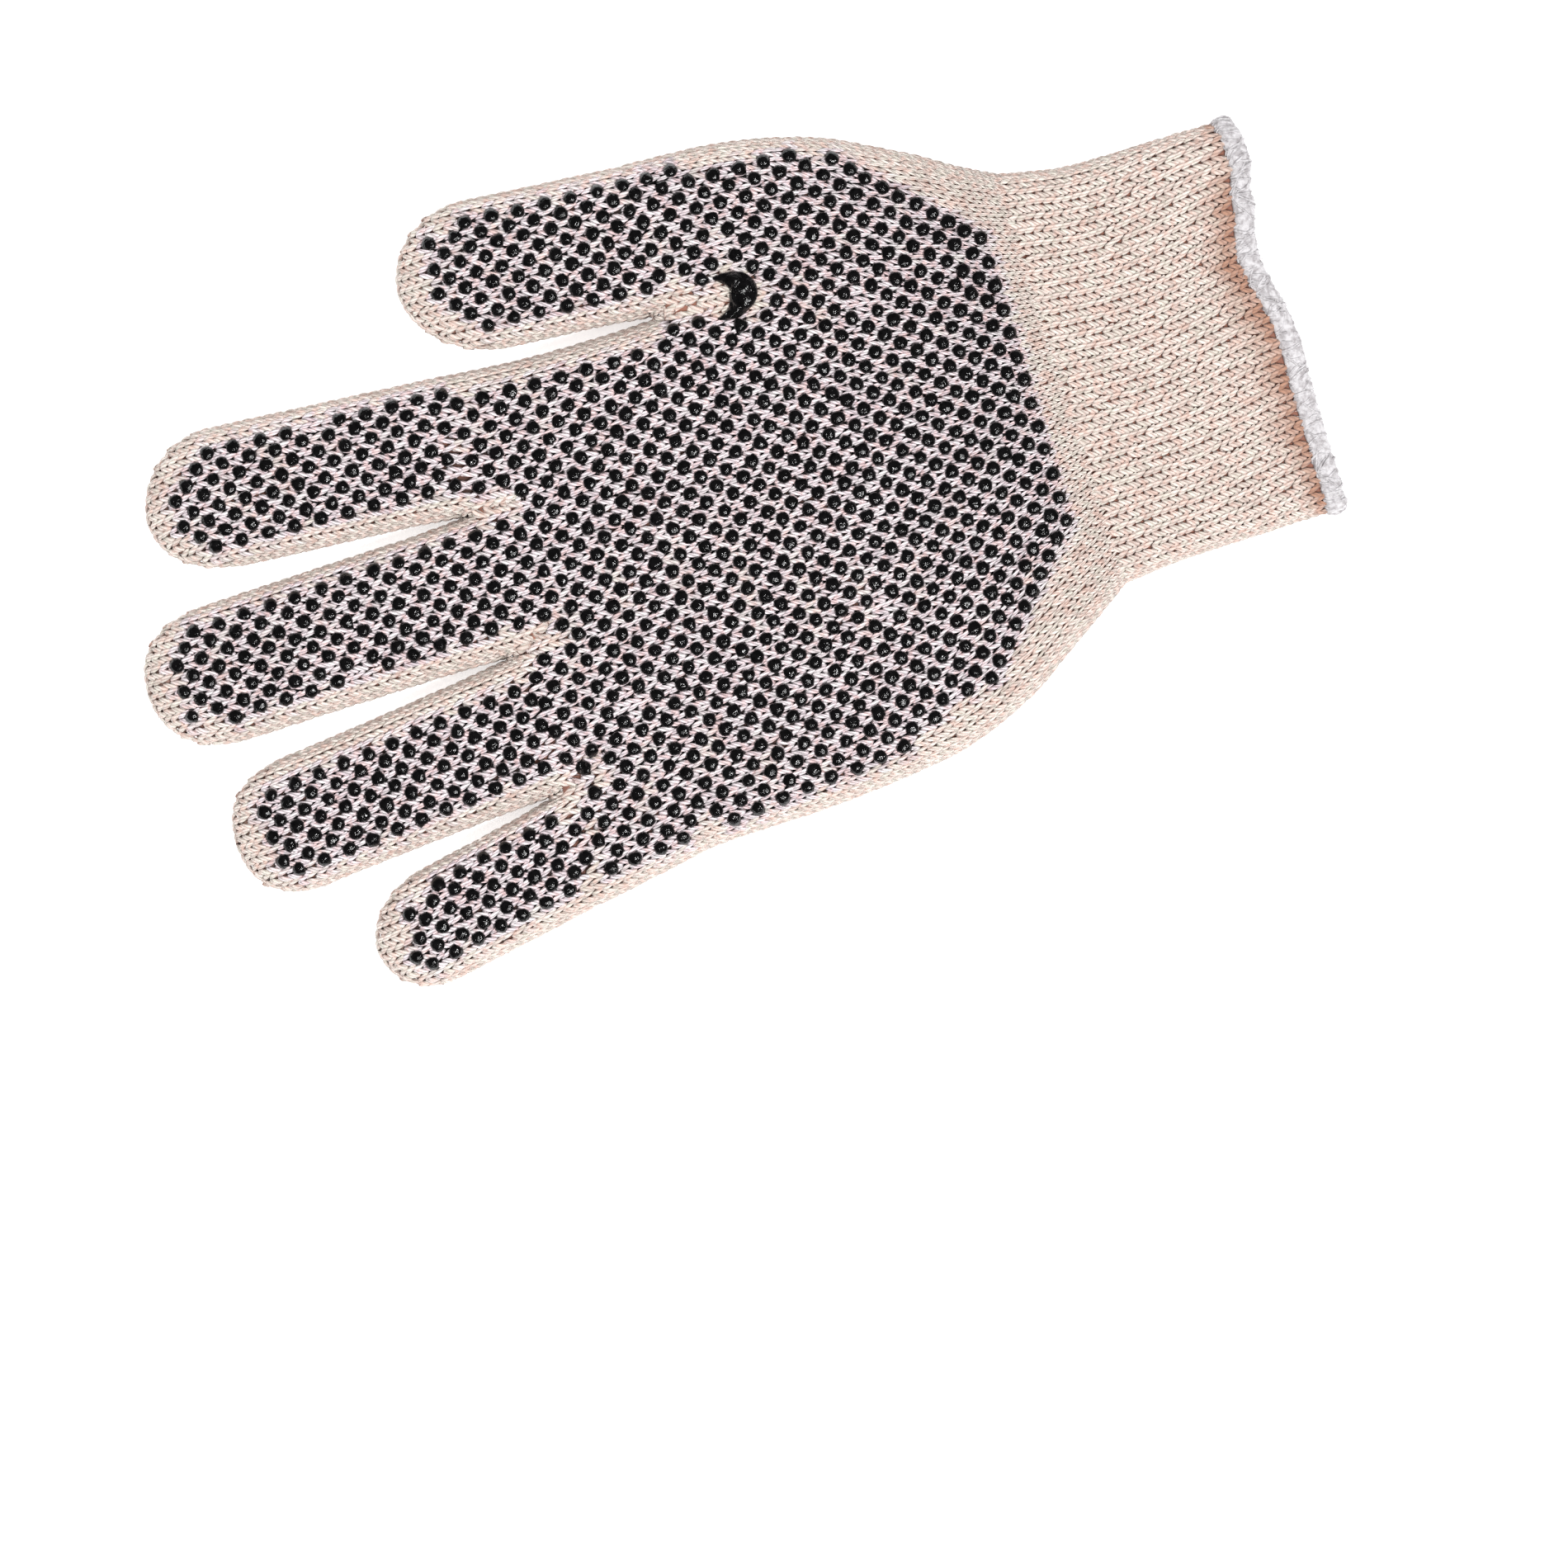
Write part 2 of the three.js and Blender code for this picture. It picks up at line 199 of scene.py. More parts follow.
def stamp(faces, pointCount, copies):
    # the faces of one small form, repeated for many copies of its points
    loops = np.concatenate([np.array(face) for face in faces])
    sizes = np.array([len(face) for face in faces])
    offsets = np.arange(copies) * pointCount
    return (loops[None, :] + offsets[:, None]).ravel(), np.tile(sizes, copies)


def tubeFaces(rings, sides, closed):
    # faces of a bent tube: bands between rings, and a tip point at either end unless it closes on itself
    faces = []
    bands = rings if closed else rings - 1
    for ring in range(bands):
        for side in range(sides):
            a = ring * sides + side
            b = ring * sides + (side + 1) % sides
            step = ((ring + 1) % rings - ring) * sides
            faces.append((a, b, b + step, a + step))
    if not closed:
        first = rings * sides
        last = (rings - 1) * sides
        for side in range(sides):
            turn = (side + 1) % sides
            faces.append((first, turn, side))
            faces.append((first + 1, last + side, last + turn))
    return faces


def strandPlaces(rings, sides):
    # for each corner of an open tube's faces: the share of a turn round the yarn, and the ring
    places = []
    for ring in range(rings - 1):
        for side in range(sides):
            places.append([(side, ring), (side + 1, ring), (side + 1, ring + 1), (side, ring + 1)])
    for side in range(sides):
        places.append([(side + 0.5, -1), (side + 1, 0), (side, 0)])
        places.append([(side + 0.5, rings), (side, rings - 1), (side + 1, rings - 1)])
    return [[(turn / sides, along) for turn, along in face] for face in places]


# Materials
def newMaterial(name):
    material = bpy.data.materials.new(name)
    material.use_nodes = True
    nodes = material.node_tree.nodes
    return material, nodes, material.node_tree.links, nodes["Principled BSDF"]


def sRgb(red, green, blue):
    # photo colour to the linear one that shaders take
    def line(value):
        value /= 255
        return value / 12.92 if value <= 0.04045 else ((value + 0.055) / 1.055) ** 2.4
    return line(red), line(green), line(blue), 1


def feed(links, socket, value):
    # a socket takes another node's output or a fixed value
    if hasattr(value, "links"):
        links.new(value, socket)
    else:
        socket.default_value = value


def noiseNode(nodes, links, scale, detail=3, rough=0.5):
    place = nodes.new("ShaderNodeTexCoord")
    noise = nodes.new("ShaderNodeTexNoise")
    noise.inputs["Scale"].default_value = scale
    noise.inputs["Detail"].default_value = detail
    noise.inputs["Roughness"].default_value = rough
    links.new(place.outputs["Object"], noise.inputs["Vector"])
    return noise.outputs["Fac"]


def rampNode(nodes, links, value, stops):
    ramp = nodes.new("ShaderNodeValToRGB")
    links.new(value, ramp.inputs["Fac"])
    marks = ramp.color_ramp.elements
    while len(marks) < len(stops):
        marks.new(0.5)
    for mark, (at, colour) in zip(marks, stops):
        mark.position = at
        mark.color = colour
    return ramp.outputs["Color"]


def mixNode(nodes, links, share, first, second, kind="MIX"):
    node = nodes.new("ShaderNodeMix")
    node.data_type = "RGBA"
    node.blend_type = kind
    for number, value in ((0, share), (6, first), (7, second)):
        feed(links, node.inputs[number], value)
    return node.outputs[2]


def mathNode(nodes, links, kind, *values):
    node = nodes.new("ShaderNodeMath")
    node.operation = kind
    for socket, value in zip(node.inputs, values):
        feed(links, socket, value)
    return node.outputs[0]


def bumpNode(nodes, links, height, strength, distance, under=None):
    # under is the normal of a bump that this one lies on
    bump = nodes.new("ShaderNodeBump")
    bump.inputs["Strength"].default_value = strength
    bump.inputs["Distance"].default_value = distance
    links.new(height, bump.inputs["Height"])
    if under:
        links.new(under, bump.inputs["Normal"])
    return bump.outputs["Normal"]


white = (1, 1, 1, 1)
cottonLook = {
    "cream": sRgb(236, 226, 219),
    "creamDark": sRgb(207, 192, 184),
    "field": sRgb(249, 236, 241),
    "fieldDark": sRgb(212, 196, 202),
    "blush": sRgb(255, 239, 234),
    "leaf": sRgb(248, 255, 251),
    # the tan band's colour: partly the elastic yarn's tan, partly painted shade under the raised overlock
    "tan": sRgb(178, 136, 115),
    # the groove and pit colours are painted shade in the knit's hollows; between the dots they are near
    # black, painted shade with some of the print's ink seeped in
    "groove": sRgb(166, 120, 102),
    "fieldGrooveShade": sRgb(38, 27, 30),
    "pitShade": sRgb(152, 104, 88),
    "fieldPitShade": sRgb(14, 10, 11),
    "plies": 5,
    "twist": 0.55,
    "grooveShare": 0.6,
    "grooveDepth": 0.00016,
    "rough": 0.92,
    "sheen": 0.2,
    "hue": 620,
    "fibre": 5200,
    "fuzz": 0.0002,
    "fleck": (0.84, 0.83, 0.82, 1),
}


def plyNode(nodes, links, plies, twist):
    # the twisted plies of a yarn: 0 in the grooves between them, 1 on their backs
    place = nodes.new("ShaderNodeUVMap")
    place.uv_map = "strand"
    split = nodes.new("ShaderNodeSeparateXYZ")
    links.new(place.outputs["UV"], split.inputs["Vector"])
    turn = mathNode(nodes, links, "MULTIPLY", split.outputs["X"], plies * math.pi)
    along = mathNode(nodes, links, "MULTIPLY_ADD", split.outputs["Y"], twist * math.pi, turn)
    return mathNode(nodes, links, "ABSOLUTE", mathNode(nodes, links, "SINE", along))


def cottonMaterial():
    material, nodes, links, shader = newMaterial("cottonYarn")
    knit = nodes.new("ShaderNodeAttribute")
    knit.attribute_name = "knit"
    parts = nodes.new("ShaderNodeSeparateColor")
    links.new(knit.outputs["Color"], parts.inputs["Color"])
    tone, field, deep = parts.outputs
    cream = mixNode(nodes, links, tone, cottonLook["creamDark"], cottonLook["cream"])
    dotted = mixNode(nodes, links, tone, cottonLook["fieldDark"], cottonLook["field"])
    plain = mixNode(nodes, links, field, cream, dotted)
    # the string is spun from mixed fibres, so its hue wanders
    wander = noiseNode(nodes, links, cottonLook["hue"], 2, 0.6)
    hues = [(0.36, cottonLook["blush"]), (0.5, white), (0.64, cottonLook["leaf"])]
    plain = mixNode(nodes, links, 1.0, plain, rampNode(nodes, links, wander, hues), "MULTIPLY")
    # the tan band: painted shade under the raised overlock, with the tan of the elastic yarn
    yarn = mixNode(nodes, links, knit.outputs["Alpha"], plain, cottonLook["tan"])
    # painted shade: darker grooves between the plies, and darker still where a yarn dives under the next
    ply = plyNode(nodes, links, cottonLook["plies"], cottonLook["twist"])
    groove = rampNode(nodes, links, ply, [(0.05, white), (0.5, (0, 0, 0, 1))])
    share = mathNode(nodes, links, "MULTIPLY", groove, cottonLook["grooveShare"])
    grooveColour = mixNode(nodes, links, field, cottonLook["groove"], cottonLook["fieldGrooveShade"])
    yarn = mixNode(nodes, links, share, yarn, grooveColour)
    pitShade = mixNode(nodes, links, field, cottonLook["pitShade"], cottonLook["fieldPitShade"])
    colour = mixNode(nodes, links, deep, yarn, pitShade)
    fibre = noiseNode(nodes, links, cottonLook["fibre"], 4, 0.65)
    flecks = rampNode(nodes, links, fibre, [(0.25, cottonLook["fleck"]), (0.62, white)])
    links.new(mixNode(nodes, links, 1.0, colour, flecks, "MULTIPLY"), shader.inputs["Base Color"])
    fuzz = bumpNode(nodes, links, fibre, 0.35, cottonLook["fuzz"])
    plies = bumpNode(nodes, links, ply, 0.9, cottonLook["grooveDepth"], fuzz)
    links.new(plies, shader.inputs["Normal"])
    shader.inputs["Roughness"].default_value = cottonLook["rough"]
    shader.inputs["Sheen Weight"].default_value = cottonLook["sheen"]
    shader.inputs["Sheen Roughness"].default_value = 0.5
    return material


printLook = {
    "black": sRgb(1, 1, 1),
    "grey": sRgb(24, 23, 24),
    "rough": (0.04, 0.15),
    "patches": 210,
    "lumps": 900,
    "bump": 0.75,
    "depth": 0.0004,
}


def printMaterial():
    material, nodes, links, shader = newMaterial("gripPrint")
    lumps = noiseNode(nodes, links, printLook["lumps"], 3, 0.6)
    colour = mixNode(nodes, links, lumps, printLook["black"], printLook["grey"])
    links.new(colour, shader.inputs["Base Color"])
    # it shines more in some patches than in others
    gloss = nodes.new("ShaderNodeMapRange")
    gloss.inputs["From Min"].default_value = 0.35
    gloss.inputs["From Max"].default_value = 0.65
    gloss.inputs["To Min"].default_value = printLook["rough"][0]
    gloss.inputs["To Max"].default_value = printLook["rough"][1]
    links.new(noiseNode(nodes, links, printLook["patches"], 2), gloss.inputs["Value"])
    links.new(gloss.outputs["Result"], shader.inputs["Roughness"])
    bump = bumpNode(nodes, links, lumps, printLook["bump"], printLook["depth"])
    links.new(bump, shader.inputs["Normal"])
    return material


threadLook = {
    "white": sRgb(206, 203, 205),
    "grey": sRgb(160, 155, 157),
    "tone": 900,
    "fibre": 3800,
    "fuzz": 0.0003,
    "rough": 0.95,
    "sheen": 0.4,
}


def threadMaterial():
    material, nodes, links, shader = newMaterial("overlockThread")
    fuzz = noiseNode(nodes, links, threadLook["fibre"], 4, 0.7)
    tone = noiseNode(nodes, links, threadLook["tone"], 3, 0.6)
    shade = rampNode(nodes, links, tone, [(0.35, threadLook["grey"]), (0.6, threadLook["white"])])
    links.new(shade, shader.inputs["Base Color"])
    links.new(bumpNode(nodes, links, fuzz, 0.5, threadLook["fuzz"]), shader.inputs["Normal"])
    shader.inputs["Roughness"].default_value = threadLook["rough"]
    shader.inputs["Sheen Weight"].default_value = threadLook["sheen"]
    return material


cotton = cottonMaterial()
gripPrint = printMaterial()
overlockThread = threadMaterial()
print("materials")


# The glove's form
# Every piece is a flat tube: a level underside, edges that roll over a quarter of an ellipse, and a
# crowned upper face. Columns are the columns of stitches over one face.
form = {
    "roll": 5.6,
    "widest": 0.42,
    "crownDrop": 1.0,
    "blendUp": 24,
    "gap": 0.6,
    "webReach": 10,
    "crease": 0.5,
    "cuffStart": 4.1,
    "cuffWidth": 82.4,
    "cuffHeight": 10.5,
    "cuffColumns": 32,
    "bodyColumns": 55,
    "knuckleColumns": 43,
    "wristWidth": 86.8,
    "wristShift": 1,
    "wristHeight": 10.8,
    "palmHeight": 13.2,
    "knuckleHeight": 11.6,
    "thumbHeight": 12.4,
    "stallHeight": 10.4,
    "tipHeight": 8.6,
}

wristLeft = form["wristShift"] - form["wristWidth"] / 2
wristRight = form["wristShift"] + form["wristWidth"] / 2
palmLeft = thumbBodyBox[0][0] - shift[0]
thumbRight = thumbBodyBox[1][0] - shift[0]
thumbLeft = boxOf("thumb")[0][0] - shift[0]
palmRight = thumbLeft - form["gap"]
knuckleLeft = knuckleBox[0][0] - shift[0]
knuckleRight = knuckleBox[1][0] - shift[0]

# share of the length, the left edge's step, the right edge's step
cuffRows = [
    (0, 0, 0),
    (0.2, 0.04, 0.04),
    (0.45, 0.06, 0.06),
    (0.74, 0.25, 0.25),
    (0.9, 0.7, 0.7),
    (1, 1, 1),
]
thumbBodyRows = [
    (0, 0, 0),
    (0.1, 0.19, 0.16),
    (0.2, 0.37, 0.35),
    (0.31, 0.58, 0.53),
    (0.42, 0.73, 0.7),
    (0.56, 0.87, 0.84),
    (0.72, 0.94, 0.94),
    (0.87, 0.98, 0.98),
    (1, 1, 1),
]
knuckleRows = [
    (0, 0, 0),
    (0.25, 0.02, -0.08),
    (0.48, 0.1, 0),
    (0.68, 0.45, 0.22),
    (0.86, 0.77, 0.63),
    (1, 1, 1),
]

# creases that run down from the crotches: where they start, how far they bend, how long they are
thumbCrease = [{"x": palmRight + form["gap"] / 2, "bend": -2.0, "reach": 20}]


def bodyTube(name, low, high, rows, lefts, rights, heights, columns, creases, parent=None):
    def edges(y):
        share = (y - low) / (high - low)
        left = mix(lefts[0], lefts[1], lineThrough(rows, 1, share))
        return left, mix(rights[0], rights[1], lineThrough(rows, 2, share))

    def height(y):
        return mix(heights[0], heights[1], smooth((y - low) / (high - low)))

    return {
        "name": name, "low": low, "high": high, "edges": edges, "height": height, "columns": columns,
        "creases": creases, "parent": parent, "stall": None,
    }


# index to little finger: width at the root and near the tip, lean, length of the round tip and its power
stallRows = {
    "index_finger": {
        "width": 28.6, "end": 29.0, "lean": 4.8, "round": 18, "power": 2, "tip": -2.2, "columns": 12,
        "webs": (1, 0),
    },
    "middle_finger": {
        "width": 29.0, "end": 28.7, "lean": -0.5, "round": 18, "power": 2.3, "tip": 0.6, "columns": 12,
        "webs": (1, 1),
    },
    "ring_finger": {
        "width": 28.6, "end": 27.4, "lean": -5.0, "round": 15.5, "power": 2.3, "tip": 1, "columns": 12,
        "webs": (1, 1),
    },
    "little_finger": {
        "width": 23.8, "end": 23.6, "lean": -10.2, "round": 14.6, "power": 2, "tip": 1.2, "columns": 10,
        "webs": (0, 1),
    },
}
thumbRow = {
    "width": 30.9, "end": 31.2, "lean": 5.1, "round": 18.5, "power": 1.95, "tip": -0.5, "columns": 13,
    "webs": (1, 0),
}


def stallTube(name, row, rightEdge, rootY, rootHeight, parent):
    length = boxOf(name)[1][1] - shift[1] - rootY
    shaft = length - row["round"]
    slope = math.tan(math.radians(row["lean"]))

    def centre(y):
        tip = np.clip((y - rootY - shaft) / row["round"], 0, 1)
        return rightEdge - row["width"] / 2 + slope * (y - rootY) + row["tip"] * tip ** 2

    def breadth(y):
        return mix(row["width"], row["end"], smooth((y - rootY) / shaft))

    def height(y):
        up = mix(rootHeight, form["stallHeight"], smooth((y - rootY) / shaft))
        return mix(up, form["tipHeight"], smooth((y - rootY - shaft) / row["round"]))

    def edges(y):
        half = breadth(y) / 2
        return centre(y) - half, centre(y) + half

    def outline(inset=0):
        # the right and the left edge, each from the root to the tip
        reach = row["round"] - inset
        straight = np.linspace(-12, shaft, 26)[:-1]
        bend = np.linspace(0, math.pi / 2, 26)
        # an even walk round the tip
        tip = np.sin(bend)
        y = rootY + np.concatenate([straight, shaft + tip * reach])
        fullness = np.concatenate([
            np.ones(len(straight)),
            np.clip(1 - tip ** row["power"], 0, 1) ** (1 / row["power"]),
        ])
        half = (breadth(y) / 2 - inset) * fullness
        right = np.stack([centre(y) + half, y], 1)
        left = np.stack([centre(y) - half, y], 1)
        return right, left

    return {
        "name": name, "low": rootY, "high": rootY + length, "edges": edges, "height": height,
        "columns": row["columns"], "creases": [], "parent": parent,
        "stall": {
            "outline": outline, "centre": centre, "shaft": shaft,
            "round": row["round"], "lean": row["lean"], "webs": row["webs"],
        },
    }


def planDistance(tube, x, y, inset=0):
    # how far a point lies inside a stall's outline, seen from above
    right, left = tube["stall"]["outline"](inset)
    x, y = np.broadcast_arrays(x, y)
    slant = math.cos(math.radians(tube["stall"]["lean"]))
    low = np.interp(y, left[:, 1], left[:, 0])
    high = np.interp(y, right[:, 1], right[:, 0])
    depth = np.minimum(x - low, high - x) * slant
    near = y > tube["low"] + tube["stall"]["shaft"] - form["roll"]
    if not near.any():
        return depth
    nearX = x[near]
    nearY = y[near]
    line = np.concatenate([right[16:], left[16:][::-1][1:]])
    best = np.full(nearX.shape, 1e9)
    for start, end in zip(line[:-1], line[1:]):
        step = end - start
        span = step @ step
        t = np.clip(((nearX - start[0]) * step[0] + (nearY - start[1]) * step[1]) / span, 0, 1)
        dx = nearX - start[0] - t * step[0]
        dy = nearY - start[1] - t * step[1]
        best = np.minimum(best, dx * dx + dy * dy)
    inside = (depth[near] >= 0) & (nearY < tube["high"] - inset)
    depth[near] = np.sqrt(best) * np.where(inside, 1, -1)
    return depth


def crownAt(tube, x, y):
    left, right = tube["edges"](y)
    middle = (left + right) / 2
    half = (right - left) / 2
    own = tube["height"](y) - form["crownDrop"] * np.clip((x - middle) / half, -1.1, 1.1) ** 2
    if tube["parent"] is None:
        return own
    below = crownAt(tube["parent"], x, np.full(np.shape(x), float(tube["low"])))
    return mix(below, own, smooth((y - tube["low"]) / form["blendUp"]))


def faceHeights(tube, x, y, inset=0.0):
    # heights of the upper and the lower face over a point of the plan
    crown = crownAt(tube, x, y) - inset
    middle = form["widest"] * tube["height"](y)
    roll = form["roll"] - 0.6 * inset
    if tube["stall"]:
        depth = planDistance(tube, x, y, inset)
    else:
        left, right = tube["edges"](y)
        depth = np.minimum(x - left, right - x) - inset
    lean = np.clip(1 - depth / roll, 0, 1)
    drop = 1 - np.sqrt(1 - lean ** 2)
    if tube["stall"]:
        # next to a crotch the stall's edge rises out of the body's shallow crease
        webbed = np.where(x < tube["stall"]["centre"](y), *tube["stall"]["webs"])
        rise = smooth((y - tube["low"]) / form["webReach"])
        drop = drop * mix(1, mix(form["crease"], 1, rise), webbed)
    for crease in tube["creases"]:
        above = np.clip((tube["high"] - y) / crease["reach"], 0, 1)
        fold = smooth(1 - above) ** 1.6
        reach = mix(2.0, form["roll"] + form["gap"] / 2, fold)
        line = crease["x"] + crease["bend"] * smooth(above * 2.2)
        lean = np.clip(1 - np.abs(x - line) / reach, 0, 1)
        drop = np.maximum(drop, form["crease"] * fold * (1 - np.sqrt(1 - lean ** 2)))
    upper = crown - (crown - middle) * drop
    lower = inset + (middle - inset) * drop
    return upper, lower


def rollArc(tube, y):
    # length of the quarter ellipse that an edge rolls over
    rise = (1 - form["widest"]) * tube["height"](y)
    return math.pi / 2 * np.sqrt((form["roll"] ** 2 + rise ** 2) / 2)


def skinPoint(tube, w, y, under):
    # w runs across the skin from the middle of a face; past the fold it goes on over the other face
    left, right = tube["edges"](y)
    flat = (right - left) / 2 - form["roll"]
    arc = rollArc(tube, y)
    reach = flat + arc
    away = np.abs(w)
    over = away > reach
    away = np.where(over, 2 * reach - away, away)
    turn = np.clip((away - flat) / arc, 0, 1) * math.pi / 2
    x = (left + right) / 2 + np.sign(w) * (np.minimum(away, flat) + form["roll"] * np.sin(turn))
    upper, lower = faceHeights(tube, x, y)
    z = np.where(over != under, lower, upper)
    return np.stack([x, y, z], -1)


def skinFrame(tube, w, y, under):
    # a point of the skin and the direction out of it
    step = 0.15
    point = skinPoint(tube, w, y, under)
    across = skinPoint(tube, w + step, y, under) - skinPoint(tube, w - step, y, under)
    along = skinPoint(tube, w, y + step, under) - skinPoint(tube, w, y - step, under)
    out = np.cross(across, along) * np.where(under, -1.0, 1.0)[..., None]
    return point, unit(out)


cuffTube = bodyTube(
    "cuff", form["cuffStart"], wristY, cuffRows, (-form["cuffWidth"] / 2, wristLeft),
    (form["cuffWidth"] / 2, wristRight), (form["cuffHeight"], form["wristHeight"]), form["cuffColumns"], [],
)
thumbBodyTube = bodyTube(
    "thumb_body", wristY, thumbCrotchY, thumbBodyRows, (wristLeft, palmLeft), (wristRight, thumbRight),
    (form["wristHeight"], form["palmHeight"]), form["bodyColumns"], thumbCrease,
)
fingerEdges = [knuckleRight]
for row in stallRows.values():
    fingerEdges.append(fingerEdges[-1] - row["width"] - form["gap"])
fingerCreases = [
    {"x": edge + form["gap"] / 2, "bend": bend, "reach": 17}
    for edge, bend in zip(fingerEdges[1:4], (0.2, 4.0, 5.0))
]
knuckleTube = bodyTube(
    "knuckle_body", thumbCrotchY, fingerCrotchY, knuckleRows, (palmLeft, knuckleLeft),
    (palmRight, knuckleRight), (form["palmHeight"], form["knuckleHeight"]), form["knuckleColumns"],
    fingerCreases, thumbBodyTube,
)
stallTubes = [
    stallTube(name, row, edge, fingerCrotchY, form["knuckleHeight"], knuckleTube)
    for (name, row), edge in zip(stallRows.items(), fingerEdges)
]
stallTubes.append(
    stallTube("thumb", thumbRow, thumbRight, thumbCrotchY, form["thumbHeight"], thumbBodyTube)
)
bodyTubes = [cuffTube, thumbBodyTube, knuckleTube]
print("tubes", [tube["name"] for tube in bodyTubes + stallTubes])


# The cuff's wave
# share of the width from the little finger's side, and of the wave's height
wave = {
    "height": 2.4,
    "reach": 18,
    "rows": [
        (0, 0.15), (0.22, 0.1), (0.45, -0.1), (0.66, 1), (0.81, 0), (0.88, -0.7), (0.94, -0.7), (1, -0.3),
    ],
}


def waveAt(x, y):
    share = np.clip((x + form["cuffWidth"] / 2) / form["cuffWidth"], 0, 1)
    stops, rises = np.array(wave["rows"], float).T
    k = np.clip(np.searchsorted(stops, share) - 1, 0, len(stops) - 2)
    part = smooth((share - stops[k]) / (stops[k + 1] - stops[k]))
    fade = 1 - smooth(y / wave["reach"])
    return wave["height"] * mix(rises[k], rises[k + 1], part) * fade


# The field of dots
# in millimetres: where it starts, how clear of the patch, of each other and of the edges the dots keep,
# how far the lavender yarn reaches round a dot, and the slanting borders over the wrist
field = {
    "first": 52.6,
    "borders": 14,
    "patch": 6.3,
    "apart": 2.9,
    "side": 4.0,
    "tip": 6.7,
    "full": 1.9,
    "fade": 1.3,
    "lowerLeft": [
        (-31, 56.5), (-34, 59), (-37, 62), (-43, 67), (-49, 72), (-53, 77), (-55, 83), (-59, 92), (-62, 98),
        (-63, 105),
    ],
    "lowerRight": [
        (36, 56.5), (38.5, 59), (42, 61.5), (45.6, 66), (50, 70), (54, 73), (59, 79), (61.5, 87), (62, 92),
        (63, 103),
    ],
}

# cream tongues run down from the crotches into the field
patchPlace = (palmRight + form["gap"] / 2 - 0.95, thumbCrotchY - 14.4)
tongues = [{"x": thumbCrease[0]["x"] + 0.4, "crotch": thumbCrotchY, "reach": 13, "half": 3.9}]
for crease in fingerCreases:
    tongues.append({"x": crease["x"] + 0.5, "crotch": fingerCrotchY, "reach": 9.5, "half": 3.5})


def insideDepth(x, y):
    # how far a point lies inside the glove's outline, seen from above
    depth = np.full(x.shape, -1.0)
    for tube in bodyTubes[1:]:
        inside = (y >= tube["low"]) & (y <= tube["high"])
        left, right = tube["edges"](y[inside])
        depth[inside] = np.minimum(x[inside] - left, right - x[inside])
    for tube in stallTubes:
        left, right = tube["edges"](y)
        inside = (y > tube["low"]) & (y < tube["high"]) & (x > left) & (x < right)
        depth[inside] = planDistance(tube, x[inside], y[inside])
    return depth


def fieldRoom(x, y):
    # how far a point lies inside the printed field, in millimetres
    leftX, leftY = zip(*field["lowerLeft"])
    rightX, rightY = zip(*field["lowerRight"])
    inBody = np.minimum(x - np.interp(y, leftY, leftX), np.interp(y, rightY, rightX) - x)
    room = np.minimum(insideDepth(x, y) - field["side"], y - field["first"])
    room = np.where(y < thumbCrotchY - field["borders"], np.minimum(room, inBody), room)
    room = np.minimum(room, np.hypot(x - patchPlace[0], y - patchPlace[1]) - field["patch"] + 0.2)
    for tongue in tongues:
        above = (tongue["crotch"] - y) / tongue["reach"]
        along = np.clip(above, -1, 1)
        half = tongue["half"] * np.sqrt(np.clip(1 - np.maximum(along, 0) ** 2, 0, 1))
        away = np.abs(x - tongue["x"]) - half
        room = np.where((above < 1) & (above > -1), np.minimum(room, away), room)
    return room


# the printed lattice on the body: the pitch across and from row to row, and how it is pulled out of square
lattice = {
    "x": -0.65,
    "y": 78.2,
    "across": 5.08,
    "up": 2.72,
    "fan": 0.0183,
    "drift": -0.096,
    "bend": 0.0016,
    "spread": 0.0012,
    "tilt": -0.09,
    "bow": -0.0077,
    "bowUp": -0.00054,
    "skew": 0.0006,
}

# on a stall it turns with the finger: one dot's place, the step across and the step to the next row
stallLattice = {
    "thumb": ((52.2, 133.5), (5.26, -0.48), (0.24, 2.71)),
    "index_finger": ((25.7, 182.6), (5.29, -0.29), (0.16, 2.75)),
    "middle_finger": ((-5.2, 190.0), (5.39, 0.04), (-0.06, 2.73)),
    "ring_finger": ((-36.2, 188.3), (5.46, 0.36), (-0.24, 2.65)),
    "little_finger": ((-64.1, 182.7), (5.44, 0.74), (-0.48, 2.55)),
}

dottedTubes = bodyTubes[1:] + stallTubes


def steps(count, rows):
    # every second row lies half a step over
    row, step = np.meshgrid(np.arange(-rows, rows + 1), np.arange(-count, count + 1), indexing="ij")
    return (step + 0.5 * (row % 2)).ravel(), row.ravel().astype(float)


def bodyDots():
    step, row = steps(20, 36)
    x = lattice["x"] + step * (lattice["across"] + lattice["fan"] * row + lattice["spread"] * step ** 2)
    x = x + row * (lattice["drift"] + lattice["bend"] * row)
    y = lattice["y"] + row * lattice["up"] + step * (lattice["tilt"] + lattice["skew"] * step ** 2)
    return np.stack([x, y + (lattice["bow"] + lattice["bowUp"] * row) * step ** 2], 1)


def stallDots(name):
    start, across, up = stallLattice[name]
    step, row = steps(7, 28)
    return np.array(start) + step[:, None] * np.array(across) + row[:, None] * np.array(up)


